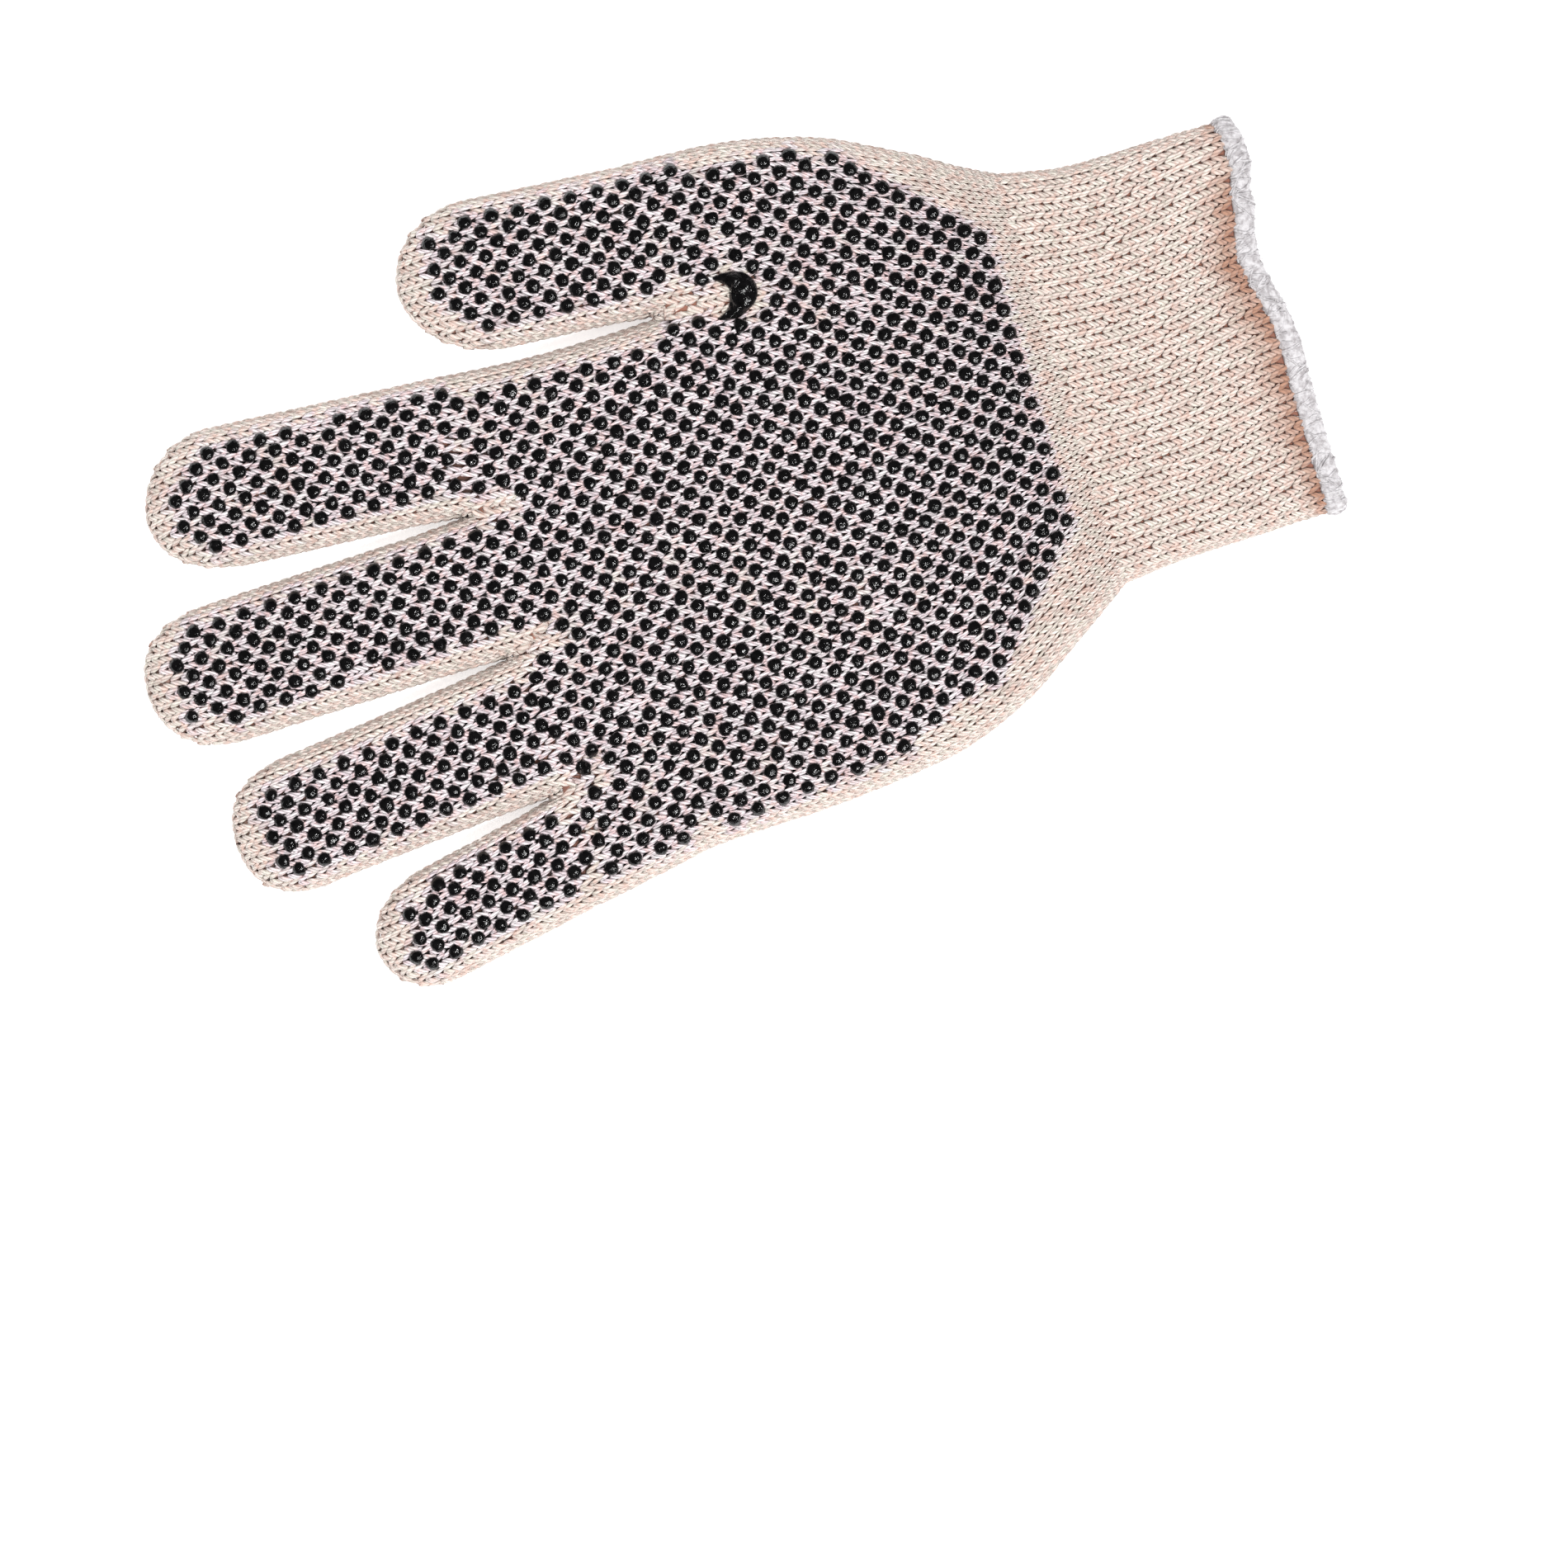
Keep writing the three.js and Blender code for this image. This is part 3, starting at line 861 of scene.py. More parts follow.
def placeDots():
    # each dot's place and the tube that it lies on
    places = []
    owners = []
    for number, tube in enumerate(dottedTubes):
        spots = stallDots(tube["name"]) if tube["stall"] else bodyDots()
        left, right = tube["edges"](spots[:, 1])
        kept = (spots[:, 1] >= tube["low"]) & (spots[:, 1] < tube["high"])
        kept &= (spots[:, 0] > left) & (spots[:, 0] < right)
        if tube["stall"]:
            kept &= spots[:, 1] < tube["high"] - field["tip"]
        spots = spots[kept]
        # dots beside the patch are pushed clear of it
        away = spots - np.array(patchPlace)
        distance = np.hypot(away[:, 0], away[:, 1])
        spots = spots + away * (np.clip(field["patch"] - distance, 0, 1) / distance)[:, None]
        spots = spots[fieldRoom(spots[:, 0], spots[:, 1]) > 0]
        places.append(spots)
        owners.append(np.full(len(spots), number))
    places = np.concatenate(places)
    owners = np.concatenate(owners)
    # where two lattices meet, dots that would touch become one
    gap = places[:, None] - places[None]
    near = np.hypot(gap[..., 0], gap[..., 1]) < field["apart"]
    places = near.astype(float) @ places / near.sum(1)[:, None]
    alone = ~np.tril(near, -1).any(1)
    return places[alone], owners[alone]


dotPlaces, dotOwners = placeDots()


def fieldShare(x, y):
    # 1 between the printed dots, 0 in the plain border
    spots = np.stack([np.ravel(x), np.ravel(y)], 1)
    share = np.empty(len(spots))
    for first in range(0, len(spots), 1000):
        gap = spots[first:first + 1000, None] - dotPlaces[None]
        away = np.sqrt((gap ** 2).sum(-1).min(1))
        share[first:first + 1000] = 1 - smooth((away - field["full"]) / field["fade"])
    return share.reshape(np.shape(x))


# Knit
# One leg of a stitch is a bent yarn. The path gives its middle across and along, in shares of a stitch, its
# height in millimetres, and its thickness in shares. The two legs lean together towards the fingertip.
yarn = {
    "wide": 0.58,
    "tall": 0.5,
    "sunk": 1.15,
    # deepFrom, fieldDeep and deepOver: the depths over which a yarn takes painted shade
    "deepFrom": 0.7,
    "fieldDeep": 0.18,
    "fieldThin": 0.14,
    "deepOver": 0.5,
    "wall": 1.8,
    "wale": 2.65,
    "course": 2.2,
    "meet": 0.15,
    "foldRoom": 0.62,
    "foldRound": 4.6,
    "foldStart": 3,
    "path": [
        (0.48, -0.90, -1.20, 0.45),
        (0.42, -0.57, -0.66, 0.92),
        (0.32, -0.17, -0.43, 1.0),
        (0.21, 0.23, -0.44, 1.0),
        (0.12, 0.58, -0.66, 0.88),
        (0.055, 0.92, -1.20, 0.42),
    ],
    "jitter": 0.035,
}


def legForm(sides, rings):
    # a closed yarn along the path: points as (across, along, height), its middle line, and its faces
    path = np.array(yarn["path"], float)
    if rings < 4:
        path = path[[0, 1, 3, 4, 5]]
        path[2, :2] = (0.26, 0.04)
    scale = (yarn["wale"], yarn["course"], 1)
    metric = path[:, :3] * scale
    points = []
    spine = []
    for k in range(1, len(path) - 1):
        tangent = unit(metric[k + 1] - metric[k - 1])
        side = unit(np.cross(tangent, (0, 0, 1)))
        up = np.cross(side, tangent)
        for turn in range(sides):
            angle = 2 * math.pi * (turn + 0.5) / sides
            reach = side * math.cos(angle) * yarn["wide"] + up * math.sin(angle) * yarn["tall"]
            points.append(metric[k] + reach * path[k, 3])
            spine.append(metric[k])
    for end in (metric[0], metric[-1]):
        points.append(end)
        spine.append(end)
    both = np.array([points, spine]) / scale
    return both, tubeFaces(len(path) - 2, sides, False), strandPlaces(len(path) - 2, sides)


def stitchForm(sides, rings):
    leg, faces, strand = legForm(sides, rings)
    other = leg * (-1, 1, 1)
    mirrored = [tuple(index + leg.shape[1] for index in face[::-1]) for face in faces]
    strand += [[(-turn, along) for turn, along in face[::-1]] for face in strand]
    corners = np.array([corner for face in strand for corner in face])
    return np.concatenate([leg, other], 1), faces + mirrored, corners


palmStitch = stitchForm(5, 4)
backStitch = stitchForm(4, 3)


def yarnWidth(tube, w, y, under):
    # the yarns lie thinner between the printed dots
    if under:
        return np.ones(len(w))
    x = skinPoint(tube, w, y, False)[:, 0]
    return 1 - yarn["fieldThin"] * fieldShare(x, y)


def stitchPoints(shape, width):
    # every stitch gets its own small slips and its own tone
    count = len(width)
    slim = shape[1] + (shape[0] - shape[1]) * width[:, None, None]
    slip = dice.normal(0, yarn["jitter"], (count, 2, 2))
    size = dice.normal(1, 0.05, (count, 2))
    lift = dice.normal(0, 0.035, (count, 2))
    tone = np.clip(dice.normal(0.62, 0.24, (count, 2)), 0, 1)
    leg = np.repeat([0, 1], shape.shape[1] // 2)
    across = slim[..., 0] + slip[:, leg, 0]
    along = slim[..., 1] * size[:, leg] + slip[:, leg, 1]
    height = slim[..., 2] + lift[:, leg]
    return across, along, height, tone[:, leg]


def knitColour(points, height, tone, under):
    # tone and depth vary along a yarn, the field and the tan band from stitch to stitch; the depth paints
    # shade on the low parts of a yarn
    centre = points.mean(1)
    inField = np.zeros(len(centre)) if under else fieldShare(centre[:, 0], centre[:, 1])
    inField = np.broadcast_to(inField[:, None], tone.shape)
    tan = np.broadcast_to(tanShadeShare(centre[:, 0], centre[:, 1])[:, None], tone.shape)
    # painted shade: the lower a point of the yarn lies, the more pit colour it takes, from higher up
    # between the dots
    deep = smooth((yarn["fieldDeep"] * inField - height - yarn["deepFrom"]) / yarn["deepOver"])
    return np.stack([tone, inField, deep, tan], -1)


def edgeColour(height, tone):
    # the same for stitches that lie outside both, with the same painted shade on the low parts
    none = np.zeros(tone.shape)
    return np.stack([tone, none, smooth((-height - yarn["deepFrom"]) / yarn["deepOver"]), none], -1)


def stitchPiece(tube, kind, points, colours, stitch, count):
    # one mesh of many stitches
    shape, faces, strand = stitch
    loops, sizes = stamp(faces, shape.shape[1], count)
    return makePiece(
        f"{tube['name']}_{kind}_stitches", points.reshape(-1, 3), loops, sizes, cotton,
        [tube["name"]], colours.reshape(-1, 4), np.tile(strand, (count, 1)),
    )


tanShadeBand = {"full": 3.4, "to": 16, "strength": 1, "middle": 0, "half": 34, "blotch": 0.3}


def tanShadeShare(x, y):
    # a tan band over the overlock, wide in the middle of the cuff: painted shade under the raised overlock,
    # with the tan of the elastic yarn
    above = y - waveAt(x, y)
    reach = 0.25 + 0.75 * np.exp(-((x - tanShadeBand["middle"]) / tanShadeBand["half"]) ** 4)
    held = np.clip((above - tanShadeBand["full"]) / (tanShadeBand["to"] - tanShadeBand["full"]) / reach, 0, 1)
    blotch = 1 + tanShadeBand["blotch"] * np.sin(0.83 * x + 1) * np.sin(0.31 * x + 0.2 * above)
    return np.clip(tanShadeBand["strength"] * blotch * (1 - held) ** 2.2, 0, 1)


def waleOf(tube, y):
    left, right = tube["edges"](y)
    return 2 * ((right - left) / 2 - form["roll"] + rollArc(tube, y)) / (tube["columns"] + 1)


cuffKnit = {
    "course": 1.85,
    "twist": 3.2,
    "twistReach": 30,
    "tan": 0.05,
    "wrist": 0.36,
    "wristReach": 10,
}


def courses(tube):
    # how many rows a body takes, and the level of any place in them; over the wrist they lie closer
    levels = np.linspace(tube["low"] - 8, tube["high"] + 8, 600)
    course = np.full(600, cuffKnit["course"] if tube is cuffTube else yarn["course"])
    if tube is thumbBodyTube:
        course *= 1 - cuffKnit["wrist"] * np.exp(-((levels - wristY) / cuffKnit["wristReach"]) ** 2)
    run = np.concatenate([[0], np.cumsum(np.diff(levels) / course[1:])])
    start, end = np.interp([tube["low"], tube["high"]], levels, run)
    rows = int(round(end - start))
    run = (run - start) * rows / (end - start)
    return rows, lambda place: np.interp(place, run, levels)


def knitBody(tube, under):
    # rows of stitches over one face of a body, and on the palm's face the two fold columns
    rows, levelOf = courses(tube)
    count = tube["columns"]
    columns = np.arange(count) - (count - 1) / 2
    if not under:
        columns = np.concatenate([columns, [-(count + 1) / 2, (count + 1) / 2]])
    first = -1 if tube is cuffTube else 0
    column, row = np.meshgrid(columns, np.arange(first, rows), indexing="ij")
    stitch = backStitch if under else palmStitch
    middle = levelOf(row.ravel() + 0.5)
    width = yarnWidth(tube, column.ravel() * waleOf(tube, middle), middle, under)
    across, along, height, tone = stitchPoints(stitch[0], width)
    stagger = 0.0
    if tube is cuffTube:
        stagger = 0.5 * (np.round(column * 2) // 2 % 2).ravel()[:, None]
    y = levelOf(row.ravel()[:, None] + 0.5 + stagger + along)
    turned = -1.0 if under else 1.0
    w = (column.ravel()[:, None] + turned * across) * waleOf(tube, y)
    if tube is cuffTube:
        w = w + turned * cuffKnit["twist"] * (1 - smooth(y / cuffKnit["twistReach"]))
    point, out = skinFrame(tube, w, y, np.full(w.shape, under))
    point = point + out * height[..., None]
    colour = knitColour(point, height, tone, under)
    if tube is cuffTube:
        point[..., 1] += waveAt(point[..., 0], point[..., 1])
        colour[..., 3] = np.maximum(colour[..., 3], cuffKnit["tan"])
    return stitchPiece(tube, "back" if under else "palm", point, colour, stitch, column.size)


def knitStall(tube, under):
    # straight columns up the stall, ended where they meet the fold that follows its outline
    stitch = backStitch if under else palmStitch
    turned = -1.0 if under else 1.0
    rootWale = waleOf(tube, tube["low"])
    right, left = tube["stall"]["outline"]()
    below = 4
    places = []
    arcs = []
    for number in range(tube["columns"]):
        column = number - (tube["columns"] - 1) / 2
        y = np.linspace(tube["low"] - below, tube["high"] - 0.02, 260)
        x = skinPoint(tube, column * waleOf(tube, y), y, False)[:, 0]
        z = faceHeights(tube, x, y)[int(under)]
        arc = np.concatenate([[0], np.cumsum(np.hypot(np.diff(y), np.diff(z)))]) - below
        depth = planDistance(tube, x, y)
        beyond = (x > np.interp(y, right[:, 1], right[:, 0])) | (x < np.interp(y, left[:, 1], left[:, 0]))
        lean = np.clip(1 - depth / form["roll"], 0, 1)
        edgeArc = rollArc(tube, y) * (1 - np.arcsin(lean) / (math.pi / 2))
        edgeArc += np.maximum(depth - form["roll"], 0)
        room = (edgeArc > yarn["foldRoom"] * rootWale) & ~beyond
        room[y < tube["low"] + 2] = True
        end = arc[np.nonzero(~room)[0][0] - 1] if (~room).any() else arc[-1]
        rows = max(int(round(end / yarn["course"])), 1)
        places += [(number, column, row) for row in range(rows)]
        # the courses are stretched a little, so that the last one meets the fold
        arcs.append((arc / (end + yarn["meet"]) * rows * yarn["course"], y))
    owner, column, row = np.array(places).T
    middle = tube["low"] + (row + 0.5) * yarn["course"]
    width = yarnWidth(tube, column * waleOf(tube, middle), middle, under)
    across, along, height, tone = stitchPoints(stitch[0], width)
    goal = (row[:, None] + 0.5 + along) * yarn["course"]
    y = np.empty(goal.shape)
    for number, (arc, levels) in enumerate(arcs):
        mine = owner == number
        y[mine] = np.interp(goal[mine], arc, levels)
    w = (column[:, None] + turned * across) * waleOf(tube, y)
    point, out = skinFrame(tube, w, y, np.full(w.shape, under))
    point = point + out * height[..., None]
    colour = knitColour(point, height, tone, under)
    return stitchPiece(tube, "back" if under else "palm", point, colour, stitch, len(places))


# the column down a crease: its run over the body, how far past it and over its end it goes, and its wale;
# the fold next to a crotch swells, so that the gap between two fingers ends in a point
crotch = {
    "run": 10,
    "past": 2.0,
    "over": 1.7,
    "drop": 3.2,
    "turn": 2.4,
    "lift": 0.2,
    "wale": 2.5,
    "swell": 0.45,
    "swellReach": 16,
}


def knitFold(tube):
    # the column of stitches that runs up each edge of a stall and meets over its tip
    rounding = yarn["foldRound"]
    start = yarn["foldStart"]
    wale = waleOf(tube, tube["low"])
    points = []
    colours = []
    total = 0
    for line in tube["stall"]["outline"]():
        line = line[line[:, 1] >= tube["low"] - start]
        run, place = walk(line)
        rows = int(round((run[-1] - start) / yarn["course"]))
        course = (run[-1] - start) / rows
        across, along, height, tone = stitchPoints(palmStitch[0], np.ones(rows))
        goal = start + (np.arange(rows)[:, None] + 0.5 + along) * course
        here = place(goal)
        tangent = unit(place(goal + 0.2) - place(goal - 0.2))
        sideSign = 1 if line[0, 0] > tube["stall"]["centre"](line[0, 1]) else -1
        out = np.stack([tangent[..., 1], -tangent[..., 0]], -1) * sideSign
        middle = form["widest"] * tube["height"](here[..., 1])
        swing = across * wale / rounding * -sideSign
        level = height + (rounding + height) * (np.cos(swing) - 1)
        if tube["stall"]["webs"][int(sideSign > 0)]:
            above = (here[..., 1] - tube["low"]) / crotch["swellReach"]
            level = level + crotch["swell"] * (1 - smooth(above))
        flat = here + out * level[..., None]
        z = middle + (rounding + height) * np.sin(swing)
        points.append(np.concatenate([flat, z[..., None]], -1))
        colours.append(edgeColour(height, tone))
        total += rows
    return stitchPiece(tube, "fold", np.concatenate(points), np.concatenate(colours), palmStitch, total)


def knitCrotches(tube):
    # one column of stitches down every crease, that goes over the end of the gap between two stalls
    up = np.array([0.0, 0.0, 1.0])
    points = []
    colours = []
    total = 0
    for crease in tube["creases"]:
        y = np.linspace(tube["high"] - crotch["run"], tube["high"] - 0.3, 30)
        above = (tube["high"] - y) / crease["reach"]
        x = crease["x"] + crease["bend"] * smooth(above * 2.2)
        z = faceHeights(tube, x, y)[0] + crotch["lift"]
        y = y + crotch["past"] * np.linspace(0, 1, 30)
        turn = np.linspace(0, crotch["turn"], 20)[1:]
        line = np.concatenate([
            np.stack([x, y, z], 1),
            np.stack([
                np.full(19, x[-1]),
                y[-1] + crotch["over"] * np.sin(turn),
                z[-1] - crotch["drop"] * (1 - np.cos(turn)),
            ], 1),
        ])
        run, place = walk(line)
        rows = int(run[-1] / yarn["course"])
        across, along, height, tone = stitchPoints(palmStitch[0], np.ones(rows))
        goal = (np.arange(rows)[:, None] + 0.5 + along) * run[-1] / rows
        ahead = unit(place(goal + 0.2) - place(goal - 0.2))
        # past the end of the body the column faces straight out of the gap
        turned = smooth((goal - run[29]) / 1.5)[..., None]
        side = unit(mix(np.cross(ahead, up), np.array([1.0, 0.0, 0.0]), turned))
        out = np.cross(side, ahead)
        points.append(place(goal) + side * (across * crotch["wale"])[..., None] + out * height[..., None])
        colours.append(edgeColour(height, tone))
        total += rows
    return stitchPiece(tube, "crotch", np.concatenate(points), np.concatenate(colours), palmStitch, total)


# where the cuff's part starts, how high its rings are, and how much painted shade its colour takes outside
# and inside
backing = {"cuffStart": -2.4, "ring": 3, "deep": 1, "inside": 0.35, "tipLighter": 0.6}


def shellRings(tube, inset, levels):
    # loops of points round a tube, a little under its skin
    around = 2 * (tube["columns"] + 1)
    share = np.linspace(-1, 1, around + 1)
    rings = []
    for y in levels:
        if tube["stall"]:
            right, left = tube["stall"]["outline"](inset)
            low = np.interp(y, left[:, 1], left[:, 0])
            high = np.interp(y, right[:, 1], right[:, 0])
        else:
            low, high = tube["edges"](y)
            low += inset
            high -= inset
        half = (high - low) / 2
        roll = min(form["roll"], 0.84 * half)
        arc = 1.5 * roll
        away = np.abs(share) * (half - roll + arc)
        turn = np.clip((away - half + roll) / arc, 0, 1) * math.pi / 2
        x = (low + high) / 2 + np.sign(share) * (np.minimum(away, half - roll) + roll * np.sin(turn))
        level = np.full(x.shape, y)
        upper, lower = faceHeights(tube, x, level, inset)
        upper[[0, -1]] = (upper[0] + lower[0]) / 2
        top = np.stack([x, level, upper], 1)
        bottom = np.stack([x, level, lower], 1)
        rings.append(np.concatenate([top, bottom[1:-1][::-1]]))
    return rings


def makeShell(tube):
    # the knit's own backing: a closed wall with a hollow inside, seen between the stitches and in the
    # mouth; its dark colour is painted shade
    ends = []
    length = tube["high"] - tube["low"]
    if tube["stall"]:
        bend = np.sin(np.linspace(0, math.pi / 2, 15))[1:-1]
        shaft = np.linspace(0, tube["stall"]["shaft"], 9)
    else:
        start = backing["cuffStart"] if tube is cuffTube else 0
        shaft = np.linspace(start, length, 2 + int(length / backing["ring"]))
    rings = []
    for inset in (yarn["sunk"], yarn["wall"]):
        levels = list(tube["low"] + shaft)
        if tube["stall"]:
            reach = tube["stall"]["round"] - inset
            levels += list(tube["low"] + tube["stall"]["shaft"] + bend * reach)
            tipY = tube["high"] - inset
            tipZ = form["widest"] * tube["height"](tipY)
            ends.append([tube["stall"]["centre"](tipY), tipY, tipZ])
        rings.append(shellRings(tube, inset, levels))
    count = len(rings[0][0])
    levelCount = len(rings[0])
    points = np.concatenate([np.concatenate(skin) for skin in rings])
    if tube is cuffTube:
        points[:, 1] += waveAt(points[:, 0], points[:, 1])
    inner = levelCount * count
    faces = []
    for ring in range(levelCount - 1):
        for side in range(count):
            a = ring * count + side
            b = ring * count + (side + 1) % count
            faces.append((a, a + count, b + count, b))
            faces.append((inner + a, inner + b, inner + b + count, inner + a + count))
    last = (levelCount - 1) * count
    for side in range(count):
        turn = (side + 1) % count
        faces.append((side, turn, inner + turn, inner + side))
        if not tube["stall"]:
            faces.append((last + side, inner + last + side, inner + last + turn, last + turn))
    if tube["stall"]:
        tip = len(points)
        points = np.concatenate([points, np.array(ends, float)])
        for side in range(count):
            turn = (side + 1) % count
            faces.append((last + side, tip, last + turn))
            faces.append((inner + last + side, inner + last + turn, tip + 1))
    loops, sizes = stamp(faces, len(points), 1)
    inField = fieldShare(points[:, 0], points[:, 1]) * (points[:, 2] > 5)
    inField[inner:inner + levelCount * count] = 0
    deep = np.full(len(points), float(backing["deep"]))
    if tube["stall"]:
        # the stitches stand wider apart over the tip, so its painted shade is lighter there
        nearTip = smooth((points[:, 1] - tube["high"] + 10) / 4)
        deep -= backing["tipLighter"] * nearTip * (1 - inField)
    # the inside of the hollow takes painted shade too, less deep
    deep[inner:] = backing["inside"]
    tan = tanShadeShare(points[:, 0], points[:, 1])
    colour = np.stack([np.full(len(points), 0.5), inField, deep, tan], 1)
    return makePiece(
        f"{tube['name']}_backing", points, loops, sizes, cotton, [tube["name"]], colour
    )


for tube in bodyTubes:
    makeShell(tube)
    knitBody(tube, False)
    knitBody(tube, True)
    if tube["creases"]:
        knitCrotches(tube)
for tube in stallTubes:
    makeShell(tube)
    knitStall(tube, False)
    knitStall(tube, True)
    knitFold(tube)
print("knit")


# Grip dots
# each is a low dome with a ragged edge; its rings are shares of the radius and of the height
dot = {
    "radius": 1.47,
    "height": 0.82,
    "sides": 13,
    "lobes": {2: 0.035, 3: 0.04, 5: 0.035},
    "ragged": 0.045,
    "slip": 0.12,
    "missing": 0.003,
    "rings": [(0.92, -0.9), (1.0, 0.05), (0.84, 0.55), (0.5, 0.88)],
}


def makeDots():
    kept = dice.random(len(dotPlaces)) > dot["missing"]
    places = dotPlaces[kept] + dice.normal(0, dot["slip"], (kept.sum(), 2))
    owners = dotOwners[kept]
    count = len(places)
    sides = dot["sides"]
    size = dot["radius"] * dice.normal(1, 0.03, (count, 1))
    tall = dot["height"] * dice.normal(1, 0.1, (count, 1))
    angles = 2 * math.pi * np.arange(sides)[None, :] / sides + dice.normal(0, 0.05, (count, sides))
    rag = 1 + dice.normal(0, dot["ragged"], (count, sides))
    for lobes, depth in dot["lobes"].items():
        rag += dice.normal(0, depth, (count, 1)) * np.cos(lobes * angles + dice.uniform(0, 6.3, (count, 1)))

    def ground(x, y):
        level = np.zeros(x.shape)
        for number, tube in enumerate(dottedTubes):
            mine = owners == number
            if mine.any():
                level[mine] = faceHeights(tube, x[mine], y[mine])[0]
        return level

    rings = []
    for spread, rise in dot["rings"]:
        reach = size * spread * (1 + (rag - 1) * spread ** 2)
        x = places[:, :1] + reach * np.cos(angles)
        y = places[:, 1:] + reach * np.sin(angles)
        rings.append(np.stack([x, y, ground(x, y) + rise * tall], -1))
    middle = ground(places[:, :1], places[:, 1:])
    for rise in (-0.9, 1.0):
        rings.append(np.stack([places[:, :1], places[:, 1:], middle + rise * tall], -1))
    points = np.concatenate(rings, 1)
    loops, sizes = stamp(tubeFaces(len(dot["rings"]), sides, False), points.shape[1], count)
    makePiece("grip_dots", points.reshape(-1, 3), loops, sizes, gripPrint)
    print("dots", count)


makeDots()


# Thumb crotch patch
# a crescent, from its horn on the thumb's side to the other: rows of the middle's place across and along,
# the half width and the height, as shares of its sizes
patch = {
    "width": 9.4,
    "length": 9.8,
    "thickness": 1.5,
    "stations": 25,
    "sides": 14,
    "ragged": 0.05,
    "lump": 0.42,
    "sunk": 0.8,
    "rows": [
        (0.47, 0.37, 0.06, 0.2),
        (0.38, 0.1, 0.31, 0.75),
        (0.21, -0.11, 0.53, 1),
        (-0.01, -0.15, 0.66, 1),
        (-0.24, 0.02, 0.48, 1),
        (-0.37, 0.22, 0.28, 0.7),
        (-0.41, 0.5, 0.05, 0.2),
    ],
}


def makePatch():
    sides = patch["sides"]
    stations = np.linspace(0, 1, patch["stations"])
    stops = np.linspace(0, 1, len(patch["rows"]))
    rows = [(stop,) + row for stop, row in zip(stops, patch["rows"])]
    x = patchPlace[0] + lineThrough(rows, 1, stations) * patch["width"]
    y = patchPlace[1] + lineThrough(rows, 2, stations) * patch["length"]
    half = lineThrough(rows, 3, stations) * patch["width"] / 2
    rise = lineThrough(rows, 4, stations) * patch["thickness"]
    stepX = np.gradient(x)
    stepY = np.gradient(y)
    length = np.hypot(stepX, stepY)

    def ground(px, py):
        return faceHeights(thumbBodyTube, np.array([px]), np.array([py]))[0][0]

    points = []
    for k in range(len(stations)):
        for side in range(sides):
            angle = 2 * math.pi * side / sides
            reach = half[k] * math.cos(angle) * (1 + dice.normal(0, patch["ragged"]))
            px = x[k] + stepY[k] / length[k] * reach
            py = y[k] - stepX[k] / length[k] * reach
            lift = math.sin(angle)
            lump = 1 + dice.normal(0, patch["lump"])
            high = rise[k] * lump if lift > 0 else patch["sunk"]
            points.append((px, py, ground(px, py) + high * lift))
    for end in (0, -1):
        points.append((x[end], y[end], ground(x[end], y[end])))
    loops, sizes = stamp(tubeFaces(len(stations), sides, False), len(points), 1)
    piece = makePiece(
        "thumb_crotch_print", np.array(points), loops, sizes, gripPrint,
        ["thumb_crotch_patch"],
    )
    piece.modifiers.new("soft", "SUBSURF").render_levels = 1
    piece.modifiers["soft"].levels = 1
    print("patch")


makePatch()


# Overlock
# a roll with a core, crossed by short lengths of thread, with loose hairs; spans are in radians round the
# roll, the rest is in millimetres
overlock = {
    "width": 5.0,
    "middle": 0.6,
    "thickness": 3.3,
    "inward": 0.75,
    "round": 190,
    "core": {"rings": 180, "sides": 12, "sunk": -0.12, "ragged": 0.07},
    "threads": 620,
    "yarn": (0.17, 0.3),
    "stations": (0.5, 0.95, 1, 1, 0.95, 0.5),
    "slant": 3.4,
    "span": (1.4, 3.6),
    "lift": 0.12,
    "dive": 1.1,
    "hairs": 420,
    "hair": 0.055,
    "hairLength": (0.8, 2.4),
    "wild": 0.8,
    "curl": 0.35,
}


def overlockPath(count):
    # the middle of the roll, round the cuff's edge, with the direction out of the cuff
    y = np.full(count, cuffTube["low"])
    reach = waleOf(cuffTube, cuffTube["low"]) * (cuffTube["columns"] + 1)
    run = np.linspace(-reach / 2, 1.5 * reach, count, endpoint=False)
    point, out = skinFrame(cuffTube, np.where(run > reach / 2, reach - run, run), y, run > reach / 2)
    point = point - out * overlock["inward"]
    point[:, 1] = overlock["middle"] + waveAt(point[:, 0], 0)
    point[:, 2] = np.maximum(point[:, 2], overlock["thickness"] / 2 + 0.1)
    return point, out


def overRoll(run, angle, lift):
    # a place on the roll and the way out of it, from the share of the way round the cuff, the angle round
    # the roll and the height over it
    count = 720
    point, out = overlockPath(count)
    at = np.mod(run, 1) * count
    low = at.astype(int) % count
    part = (at - np.floor(at))[..., None]
    centre = mix(point[low], point[(low + 1) % count], part)
    outward = mix(out[low], out[(low + 1) % count], part)
    forward = np.array([0.0, 1.0, 0.0])
    thick = overlock["thickness"] / 2 - 0.3 + lift
    wide = overlock["width"] / 2 - 0.25 + lift
    away = outward * (np.cos(angle) * thick)[..., None] + forward * (np.sin(angle) * wide)[..., None]
    return centre + away, unit(away)


def yarnTubes(line, normal, radius, sides):
    # many thin tubes at once: line is (tube, station, xyz) and radius a row for each tube
    ahead = unit(np.gradient(line, axis=1))
    side = unit(np.cross(ahead, normal))
    up = np.cross(side, ahead)
    angles = (2 * math.pi * np.arange(sides) / sides)[:, None]
    ring = side[:, :, None] * np.cos(angles) + up[:, :, None] * np.sin(angles)
    ring = line[:, :, None] + ring * radius[..., None, None]
    count, stations = line.shape[:2]
    tips = line[:, [0, -1]] + (line[:, [0, -1]] - line[:, [1, -2]]) * 0.25
    points = np.concatenate([ring.reshape(count, stations * sides, 3), tips], 1)
    loops, sizes = stamp(tubeFaces(stations, sides, False), points.shape[1], count)
    return points.reshape(-1, 3), loops, sizes


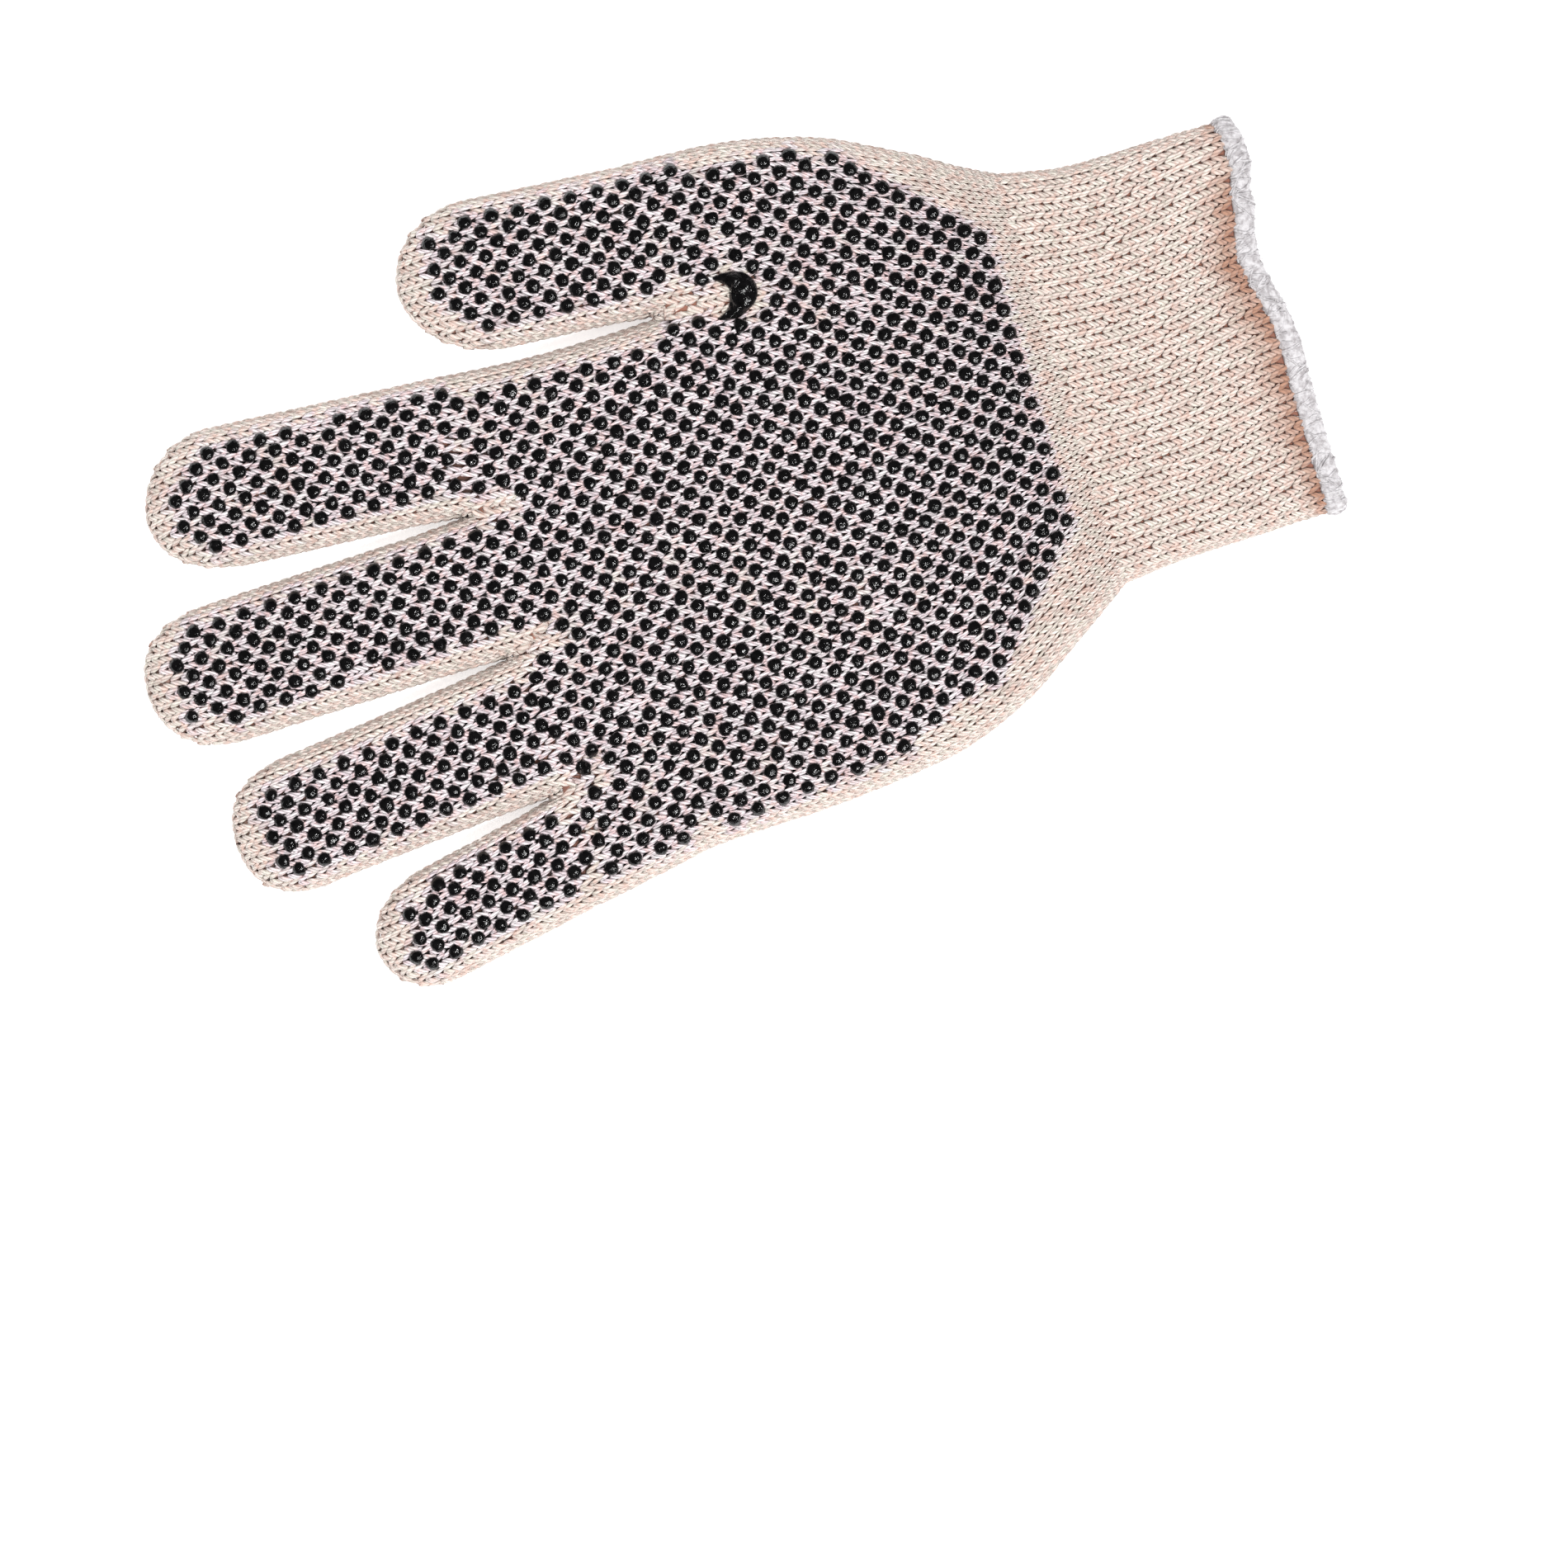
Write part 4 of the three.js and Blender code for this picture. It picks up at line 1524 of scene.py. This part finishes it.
def makeOverlock():
    core = overlock["core"]
    run, angle = np.meshgrid(
        np.arange(core["rings"]) / core["rings"], np.arange(core["sides"]) * 2 * math.pi / core["sides"],
        indexing="ij",
    )
    points, _ = overRoll(run, angle, dice.normal(core["sunk"], core["ragged"], run.shape))
    loops, sizes = stamp(tubeFaces(core["rings"], core["sides"], True), run.size, 1)
    makePiece(
        "overlock_core", points.reshape(-1, 3), loops, sizes, overlockThread,
        ["cuff_overlock"],
    )
    # short lengths of thread cross over the roll both ways
    count = overlock["threads"]
    stations = len(overlock["stations"])
    share = np.linspace(-0.5, 0.5, stations)[None, :]
    slant = dice.normal(0, overlock["slant"], (count, 1)) / overlock["round"]
    span = dice.uniform(*overlock["span"], (count, 1))
    start = dice.uniform(0, 1, (count, 1))
    turn = dice.uniform(0, 2 * math.pi, (count, 1))
    run = start + slant * share + dice.normal(0, 0.0006, (count, stations))
    lift = dice.uniform(-overlock["lift"], overlock["lift"], (count, 1)) - overlock["dive"] * share ** 2
    line, normal = overRoll(run, turn + span * share, lift)
    radius = dice.uniform(*overlock["yarn"], (count, 1)) * np.array(overlock["stations"])
    points, loops, sizes = yarnTubes(line, normal, radius, 4)
    # loose hairs round it
    count = overlock["hairs"]
    base, away = overRoll(
        dice.uniform(0, 1, (count, 1)), dice.uniform(0, 2 * math.pi, (count, 1)), np.full((count, 1), -0.1)
    )
    away = unit(away + dice.normal(0, overlock["wild"], away.shape))
    length = dice.uniform(*overlock["hairLength"], (count, 1, 1))
    curl = dice.normal(0, overlock["curl"], (count, 1, 3))
    along = np.array([0, 0.5, 1.0])[None, :, None]
    line = base + (away * along + curl * along ** 2) * length * 0.5
    line[..., 2] = np.maximum(line[..., 2], 0.08)
    thin = np.full((count, 3), overlock["hair"])
    hairs, hairLoops, hairSizes = yarnTubes(line, np.roll(away, 1, -1), thin, 3)
    loops = np.concatenate([loops, hairLoops + len(points)])
    makePiece(
        "overlock_threads", np.concatenate([points, hairs]), loops, np.concatenate([sizes, hairSizes]),
        overlockThread, ["cuff_overlock"],
    )
    print("overlock")


makeOverlock()


# Floor and light
studio = {
    "size": 6,
    "floor": sRgb(250, 250, 251),
    "rough": 0.9,
    "shine": 0.1,
    "glow": 0.5,
    "below": 0.0002,
    "world": 0.55,
}


def makeFloor():
    half = studio["size"] / 2
    square = [(-half, -half, 0), (half, -half, 0), (half, half, 0), (-half, half, 0)]
    mesh = bpy.data.meshes.new("floor")
    mesh.from_pydata(square, [], [(0, 1, 2, 3)])
    material, nodes, links, shader = newMaterial("floorPaper")
    shader.inputs["Base Color"].default_value = studio["floor"]
    shader.inputs["Roughness"].default_value = studio["rough"]
    shader.inputs["Specular IOR Level"].default_value = studio["shine"]
    shader.inputs["Emission Color"].default_value = white
    shader.inputs["Emission Strength"].default_value = studio["glow"]
    mesh.materials.append(material)
    floor = bpy.data.objects.new("floor", mesh)
    floor.location.z = -studio["below"]
    scene.collection.objects.link(floor)
    floor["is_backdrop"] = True


# the way to each light, as right and up in the photo and up from the floor, and whether shiny faces
# mirror it
lights = {
    "keyLight": {"way": (0.45, -0.3, 1.1), "distance": 1.6, "size": 0.3, "power": 17, "mirrored": True},
    "glintLight": {"way": (0.1, -0.55, 1.1), "distance": 1.6, "size": 0.17, "power": 5, "mirrored": True},
    "fillLight": {"way": (-0.8, 0.5, 1.2), "distance": 1.8, "size": 1.6, "power": 8.4, "mirrored": False},
    "overLight": {"way": (0.05, 0.1, 1.0), "distance": 1.9, "size": 1.2, "power": 6, "mirrored": False},
}


def makeLights():
    photoTurn = Matrix.Rotation(math.radians(photo["turn"]), 3, "Z")
    for name, light in lights.items():
        data = bpy.data.lights.new(name, "AREA")
        data.size = light["size"]
        data.energy = light["power"]
        lamp = bpy.data.objects.new(name, data)
        lamp.visible_glossy = light["mirrored"]
        scene.collection.objects.link(lamp)
        way = (photoTurn @ Vector(light["way"])).normalized()
        lamp.location = way * light["distance"]
        lamp.rotation_mode = "QUATERNION"
        lamp.rotation_quaternion = way.to_track_quat("Z", "Y")
    world = bpy.data.worlds.new("studio")
    world.use_nodes = True
    sky = world.node_tree.nodes["Background"]
    sky.inputs["Color"].default_value = white
    sky.inputs["Strength"].default_value = studio["world"]
    world.cycles_visibility.glossy = False
    scene.world = world
    scene.view_settings.view_transform = "Standard"
    print("lights")


makeFloor()
makeLights()

triangles = [len(piece.data.loops) - 2 * len(piece.data.polygons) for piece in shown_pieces()]
print("triangles", sum(triangles), "most", max(triangles))
